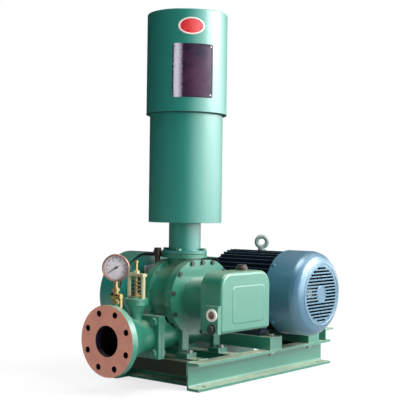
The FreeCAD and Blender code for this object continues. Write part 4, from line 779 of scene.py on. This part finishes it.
def roundedOutline(halfWide, halfTall, corner, cornerSteps, between=0):
    # a quarter turn at each corner, and points between them along the straight runs
    arcs = []
    for k, (sx, sy) in enumerate(((1, 1), (-1, 1), (-1, -1), (1, -1))):
        turns = [radians(90 * k + 90 / cornerSteps * n) for n in range(cornerSteps + 1)]
        arcs.append([(sx * (halfWide - corner) + corner * cos(turn),
                      sy * (halfTall - corner) + corner * sin(turn)) for turn in turns])
    outline = []
    for arc, following in zip(arcs, arcs[1:] + arcs[:1]):
        (x0, y0), (x1, y1) = arc[-1], following[0]
        shares = [n / (between + 1) for n in range(1, between + 1)]
        outline += arc + [(x0 + (x1 - x0) * share, y0 + (y1 - y0) * share) for share in shares]
    return outline


# pressure gauge: rolled bezel, printed dial, boss of the pointer
gauge = {"centre": (-0.512, -0.011, 0.349), "facing": (-0.771625, -0.636078, 0), "rim": 0.0379, "lip": 0.0338,
         "zero": -125.0, "span": 250.0, "divisions": 10, "numbers": ("0", "20", "40", "60", "80", "100"),
         "tickRadius": 0.0295, "mainTick": (0.0062, 0.0007), "fineTick": (0.0034, 0.0003), "tickRise": 0.00025,
         "arcWire": 0.00022, "numberRadius": 0.0205, "numberHeight": 0.0052, "numberRise": 0.00012}
upright = Vector((0, 0, 1))


def depthAlong(node, centre, facing):
    return max((vertex.co - Vector(centre)).dot(Vector(facing)) for vertex in nodes[node].data.vertices)


def dialPoint(angle, radius, lift):
    facing = Vector(gauge["facing"])
    out = around(upright, upright.cross(facing), radians(angle))
    return Vector(gauge["centre"]) + out * radius + facing * lift, out, facing.cross(out)


def buildGauge():
    centre, facing = gauge["centre"], gauge["facing"]
    front = depthAlong("gauge_case", centre, facing)
    dial = depthAlong("gauge_dial", centre, facing)
    work = bmesh.new()
    rim, lip = gauge["rim"], gauge["lip"]
    ringLathe(work, [(front - 0.009, rim - 0.0006), (front - 0.008, rim + 0.0004),
                     (front - 0.0015, rim + 0.0004), (front + 0.0006, rim - 0.0006),
                     (front + 0.001, rim - 0.002), (front + 0.0006, lip + 0.0006), (front - 0.0006, lip),
                     (front - 0.0016, lip + 0.0006), (front - 0.0014, rim - 0.002)], centre, facing, 72)
    ringLathe(work, circleProfile(rim + 0.0001, front - 0.0125, 0.0007, 8), centre, facing, 72)
    addPiece("gaugeBezel", work, "bezelCopper", sharp=50)
    work = bmesh.new()
    parts = gauge["divisions"] * 5
    for k in range(parts + 1):
        angle = gauge["zero"] + gauge["span"] * k / parts
        reach, width = gauge["fineTick" if k % 5 else "mainTick"]
        place, out, across = dialPoint(angle, gauge["tickRadius"], dial)
        corners = [place + out * a + across * b for a, b in
                   ((0, -width), (0, width), (-reach, width), (-reach, -width))]
        low = [work.verts.new(corner) for corner in corners]
        high = [work.verts.new(corner + Vector(facing) * gauge["tickRise"]) for corner in corners]
        work.faces.new(high)
        bridge(work, [low, high])
    path = [dialPoint(gauge["zero"] + gauge["span"] * k / 48, gauge["tickRadius"] + 0.0008, dial)[0]
            for k in range(49)]
    tube(work, path, gauge["arcWire"], 5)
    addPiece("dialTicks", work, "dialInk")
    work = bmesh.new()
    turn = Matrix((upright.cross(Vector(facing)), upright, Vector(facing))).transposed().to_4x4()
    for k, label in enumerate(gauge["numbers"]):
        text = bpy.data.curves.new("dialNumber", "FONT")
        text.body = label
        text.size = gauge["numberHeight"]
        text.extrude = gauge["numberRise"]
        text.align_x, text.align_y = "CENTER", "CENTER"
        holder = bpy.data.objects.new("dialNumber", text)
        mesh = bpy.data.meshes.new_from_object(holder)
        angle = gauge["zero"] + gauge["span"] * k / (len(gauge["numbers"]) - 1)
        place = dialPoint(angle, gauge["numberRadius"], dial + 0.00015)[0]
        mesh.transform(Matrix.Translation(place) @ turn)
        work.from_mesh(mesh)
        bpy.data.meshes.remove(mesh)
        bpy.data.objects.remove(holder)
    addPiece("dialNumbers", work, "dialInk")
    work = bmesh.new()
    needle = depthAlong("gauge_pointer", centre, facing)
    lathe(work, [(needle - 0.0012, 0.0042), (needle + 0.0002, 0.0042), (needle + 0.0008, 0.0034),
                 (needle + 0.001, 0.001)], centre, facing, 28)
    addPiece("needleBoss", work, "needleBlack", body="gauge_needle")


buildGauge()


# relief valve spring, a coil of one length between the ends of the spring part
spring = {"place": (-0.430, -0.011), "radius": 0.0105, "wire": 0.0014, "turns": 5.5, "flatEnd": 0.09,
          "steps": 240, "lift": 0.008}


def buildSpring():
    low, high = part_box("relief_spring")
    x, y = spring["place"]
    bottom, top = low.z + spring["wire"], high.z - spring["wire"]
    path = []
    for k in range(spring["steps"] + 1):
        share = k / spring["steps"]
        turn = 2 * pi * spring["turns"] * share
        climb = min(max((share - spring["flatEnd"]) / (1 - 2 * spring["flatEnd"]), 0), 1)
        path.append(Vector((x + spring["radius"] * cos(turn), y + spring["radius"] * sin(turn),
                            bottom + (top - bottom) * climb)))
    work = bmesh.new()
    tube(work, path, spring["wire"], 8)
    piece = addPiece("reliefSpring", work, "springSteel", sharp=60, stands=("relief_spring",))
    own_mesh(piece)


buildSpring()
print("gauge and relief valve detailed")


# bare badge and bare plate on the hood
def onHood(angle, along, height, lift):
    turn = radians(angle) - along / hood["radius"]
    reach = hood["radius"] + lift
    return Vector((hood["x"] - sin(turn) * reach, hood["y"] - cos(turn) * reach, height))


def wrapPanel(work, outline, angle, middle, steps):
    # steps: share of the outline, lift and finish, from the middle to the rim
    rows = [[work.verts.new(onHood(angle, u * share, middle + v * share, lift)) for u, v in outline]
            for share, lift, finish in steps]
    for lower, upper, step in zip(rows, rows[1:], steps[1:]):
        bridge(work, [lower, upper], step[2])
    work.faces.new(rows[0])


def buildHoodPlates():
    wide, tall = badge["half"]
    turns = [radians(5 * k) for k in range(72)]
    oval = [(wide * cos(turn), tall * sin(turn)) for turn in turns]
    proud = badge["proud"]
    steps = [(0.02 + 0.82 * k / 8, proud * 0.75, 0) for k in range(9)]
    steps += [(0.855, proud * 1.25, 1), (0.9, proud * 1.5, 1), (0.96, proud * 1.4, 1), (1.0, proud * 0.8, 1),
              (1.0, 0.0, 1)]
    work = bmesh.new()
    wrapPanel(work, oval, badge["angle"], badge["z"], steps)
    addPiece("hoodBadge", work, "badgeField", "paleRim", sharp=60, stands=("oval_badge",))
    halfWide = radians(plate["span"] / 2) * hood["radius"]
    halfTall = (plate["high"] - plate["low"]) / 2
    middle = (plate["high"] + plate["low"]) / 2
    proud = plate["proud"]
    steps = [(0.02 + 0.93 * k / 12, proud, 0) for k in range(13)]
    steps += [(0.962, proud * 1.25, 0), (0.985, proud * 1.25, 0), (1.0, proud * 0.8, 0), (1.0, 0.0, 0)]
    work = bmesh.new()
    outline = roundedOutline(halfWide, halfTall, plate["corner"], 4, 11)
    wrapPanel(work, outline, plate["angle"], middle, steps)
    addPiece("hoodPlate", work, "darkPlate", sharp=60, stands=("dark_plate",))
    work = bmesh.new()
    size = plate["rivet"]
    for sx in (-1, 1):
        for sy in (-1, 1):
            u, v = sx * (halfWide - plate["rivetInset"]), sy * (halfTall - plate["rivetInset"])
            foot = onHood(plate["angle"], u, middle + v, proud * 0.9)
            out = (onHood(plate["angle"], u, middle + v, 1.0) - foot).normalized()
            lathe(work, [(0, size), (0.0004, size), (0.001, size * 0.8), (0.0014, size * 0.4)], foot, out, 16)
    addPiece("plateRivets", work, "zincSteel")


buildHoodPlates()


# rolled hem of the hood, painted near-black as the shadow line under the hood's lip; welds of the sheet metal
# and of the base
base = {"halfLength": 0.350, "web": 0.138, "top": 0.080, "crossLow": 0.040, "bead": 0.0022, "cornerRun": 0.034,
        "beams": ((-0.300, 0.043), (-0.108, -0.043))}  # x of a beam's edge, and the run of its bead
sheet = {"hemInset": 0.0009, "hemRise": 0.0012, "hemWire": 0.0017, "neckRadius": 0.0492,
         "neckWelds": (0.4735, 0.3905), "neckBead": 0.0016, "seamBead": 0.0009,
         # seams: radius, angle and heights
         "seams": ((0.111, 25, (0.478, 0.6, 0.72, 0.858)), (0.122, 12, (0.804, 0.9, 1.0, 1.1)))}


def buildWelds():
    noise.seed_set(beadLook["seed"])  # the beads wander alike in every run
    work = bmesh.new()
    hem = circleProfile(hood["radius"] - sheet["hemInset"], hood["low"] + sheet["hemRise"], sheet["hemWire"])
    ringLathe(work, hem, (hood["x"], 0, 0), (0, 0, 1), 96)
    # the hem is painted near-black, a painted shadow under the hood's lip
    addPiece("hoodHem", work, "paintedHemShadow", sharp=60)
    work = bmesh.new()
    for height in sheet["neckWelds"]:
        ring = ringPath((hood["x"], 0, height), (0, 0, 1), sheet["neckRadius"], 48)
        weldPath(work, ring, sheet["neckBead"])
    for radius, angle, heights in sheet["seams"]:
        turn = radians(angle)
        x, y = hood["x"] + radius * sin(turn), radius * cos(turn)
        weldPath(work, [(x, y, z) for z in heights], sheet["seamBead"])
    addPiece("silencerWelds", work, "sheetTeal", sharp=60)
    work = bmesh.new()
    bead, top = base["bead"], base["top"]
    for sx in (-1, 1):
        for sy in (-1, 1):
            x, y = sx * base["halfLength"], sy * base["web"]
            weldPath(work, [(x, y, base["crossLow"] + 0.002), (x, y, top - 0.001)], bead)
            weldPath(work, [(x, y, top), (x - sx * base["cornerRun"], y, top)], bead)
    for x, run in base["beams"]:
        for sy in (-1, 1):
            weldPath(work, [(x, sy * base["web"], top), (x + run, sy * base["web"], top)], bead)
    addPiece("baseWelds", work, "rolledTeal", sharp=60)


buildWelds()


# belt guard: a black strip round the open rim as painted shade for the shadow the rim casts, and the pressed
# bead, louvres and screws of its outer face
guard = {"sealY": 0.1125, "sealInset": 0.004, "shadowStripRadius": 0.0048, "faceY": 0.184, "beadInset": 0.019,
         "beadRadius": 0.0024, "screwInset": 0.0095, "screwStep": 0.155, "screwRadius": 0.0052,
         "louvreLong": 0.074, "louvreTall": 0.011, "louvreOut": 0.0042, "louvreStep": 0.019,
         # louvreSection: drop and rise of each corner; louvreRows: x, z and how many
         "louvreSection": ((0.5, 0.0), (0.42, 0.3), (0.2, 0.66), (-0.1, 0.9), (-0.42, 1.0), (-0.46, 0.85),
                           (-0.46, 0.0)),
         "louvreRows": ((-0.253, 0.252, 7), (0.137, 0.252, 5))}


def guardOutline(node, inset, y):
    corners = [Vector((vertex.co.x, 0, vertex.co.z)) for vertex in nodes[node].data.vertices]
    low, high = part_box(node)
    middle = Vector(((low.x + high.x) / 2, 0, (low.z + high.z) / 2))
    path = []
    for k in range(160):
        turn = 2 * pi * k / 160
        out = Vector((cos(turn), 0, sin(turn)))
        corner = max(corners, key=lambda each: (each - middle).dot(out))
        if not path or (corner - path[-1]).length > 0.004:
            path.append(corner)
    result = []
    for k, corner in enumerate(path):
        heading = (path[(k + 1) % len(path)] - path[k - 1]).normalized()
        inwards = Vector((-heading.z, 0, heading.x))
        if inwards.dot(middle - corner) < 0:
            inwards = -inwards
        point = corner + inwards * inset
        result.append(Vector((point.x, y, point.z)))
    return result


def addLouvre(work, x, z):
    # a pressed hood, open along its lower edge, where the face is painted near-black as painted shade
    long, tall, out = guard["louvreLong"], guard["louvreTall"], guard["louvreOut"]
    rows = []
    for k in range(17):
        u = -1 + 2 * k / 16
        swell = max(1 - abs(u) ** 3, 0.0) ** 0.5
        rows.append([work.verts.new((x + u * long / 2, guard["faceY"] - 0.0003 + out * rise * swell,
                                     z + tall * drop * (0.35 + 0.65 * swell)))
                     for drop, rise in guard["louvreSection"]])
    for lower, upper in zip(rows, rows[1:]):
        for k in range(7):
            n = (k + 1) % 7
            work.faces.new((lower[k], lower[n], upper[n], upper[k])).material_index = int(k == 5)


def buildGuardTrim():
    face, radius, step = guard["faceY"], guard["screwRadius"], guard["screwStep"]
    work = bmesh.new()
    # painted shade: a black strip in belt rubber stands for the shadow under the open rim
    rim = guardOutline("guard_plate", guard["sealInset"], guard["sealY"])
    tube(work, rim, guard["shadowStripRadius"], 8, closed=True)
    addPiece("guardSeal", work, "beltRubber", sharp=60)
    work = bmesh.new()
    bead = guardOutline("belt_guard", guard["beadInset"], face - 0.0002)
    tube(work, bead, guard["beadRadius"], 10, closed=True)
    for x, z, count in guard["louvreRows"]:
        for k in range(count):
            addLouvre(work, x, z + (k - (count - 1) / 2) * guard["louvreStep"])
    addPiece("guardPressings", work, "sheetTeal", "paintedBoreShade", sharp=50)
    work = bmesh.new()
    path = guardOutline("belt_guard", guard["screwInset"], face)
    screw = [(-0.0004, radius * 1.45), (0.0012, radius * 1.45), (0.0013, radius), (0.0034, radius * 0.92),
             (0.0046, radius * 0.6)]
    travelled = step / 2
    for first, second in zip(path, path[1:] + path[:1]):
        span = (second - first).length
        while travelled < span:
            lathe(work, screw, first.lerp(second, travelled / span), (0, 1, 0), 20)
            travelled += step
        travelled -= span
    addPiece("guardScrews", work, "dullZinc", sharp=45)


buildGuardTrim()


# fan cowl: beads pressed round the grille and its middle, screws at the rim
cowl = {"x": 0.137, "z": 0.252, "face": -0.276, "bead": 0.0965, "radius": 0.134, "screwY": -0.162,
        # profiles: rise and radius, the bead's radius being from its own middle
        "beadProfile": ((-0.0008, 0.0026), (0.0009, 0.0014), (0.0013, 0.0), (0.0009, -0.0014),
                        (-0.0008, -0.0026)),
        "middleProfile": ((-0.0006, 0.0262), (0.0008, 0.0254), (0.001, 0.0245), (0.0004, 0.0238),
                          (-0.0006, 0.0236)),
        "screwProfile": ((-0.001, 0.0075), (0.001, 0.0075), (0.0011, 0.005), (0.0042, 0.0048), (0.005, 0.004)),
        "screwAngles": (42, 138, 222, 318)}


def buildCowlTrim():
    centre = (cowl["x"], cowl["face"], cowl["z"])
    work = bmesh.new()
    outer = [(rise, cowl["bead"] + radius) for rise, radius in cowl["beadProfile"]]
    ringLathe(work, outer, centre, (0, -1, 0), 96)
    ringLathe(work, cowl["middleProfile"], centre, (0, -1, 0), 64)
    addPiece("cowlBeads", work, "cowlPaint", sharp=60)
    work = bmesh.new()
    for angle in cowl["screwAngles"]:
        out = around(Vector((1, 0, 0)), upright, radians(angle))
        place = Vector((cowl["x"], cowl["screwY"], cowl["z"])) + out * cowl["radius"]
        lathe(work, cowl["screwProfile"], place, out, 18)
    addPiece("cowlScrews", work, "cowlPaint")


buildCowlTrim()


# threads that show on the tension screws
threads = {"radius": 0.006, "pitch": 0.00175, "z": 0.1, "wire": 0.0005, "inset": 0.9, "steps": 12,
           "freeEnd": 0.002, "headEnd": 0.012}


def buildThreads():
    low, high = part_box("tension_screws")
    start, end = low.x + threads["freeEnd"], high.x - threads["headEnd"]
    inset = (high.z - low.z) / 2 * threads["inset"]
    steps = int((end - start) / threads["pitch"] * threads["steps"])
    work = bmesh.new()
    for y in (low.y + inset, high.y - inset):
        path = []
        for k in range(steps + 1):
            turn = 2 * pi * k / threads["steps"]
            path.append(Vector((start + (end - start) * k / steps, y + cos(turn) * threads["radius"],
                                threads["z"] + sin(turn) * threads["radius"])))
        tube(work, path, threads["wire"], 4)
    addPiece("screwThreads", work, "zincSteel", sharp=60)


buildThreads()


# bare plates: on the guard's inner sheet and on the front of the gear case
barePlates = {
    "guardLabel": {"centre": (-0.235, 0.1138, 0.327), "half": (0.026, 0.0135), "corner": 0.002, "thick": 0.0006,
                   "tilt": 5.0, "finish": "bareLabel"},
    "gearCasePad": {"centre": (-0.195, -0.238, 0.243), "half": (0.078, 0.054), "corner": 0.014,
                    "thick": 0.0009, "tilt": 0.0, "finish": "caseTeal"},
}


def buildBarePlates():
    for name, given in barePlates.items():
        wide, tall = given["half"]
        thick, lean = given["thick"], radians(given["tilt"])
        outline = roundedOutline(wide, tall, given["corner"], 5)
        work = bmesh.new()
        rows = []
        for share, lift in ((1.0, -0.0003), (1.0, thick * 0.4), (1 - thick / wide, thick), (0.93, thick)):
            row = []
            for u, v in outline:
                across, up = u * share, v * share
                row.append(work.verts.new(Vector(given["centre"]) + Vector((
                    across * cos(lean) - up * sin(lean), -lift,
                    across * sin(lean) + up * cos(lean)))))
            rows.append(row)
        bridge(work, rows)
        work.faces.new(rows[-1])
        work.faces.new(rows[0])
        addPiece(name, work, given["finish"], sharp=50)


buildBarePlates()
print("trim built")
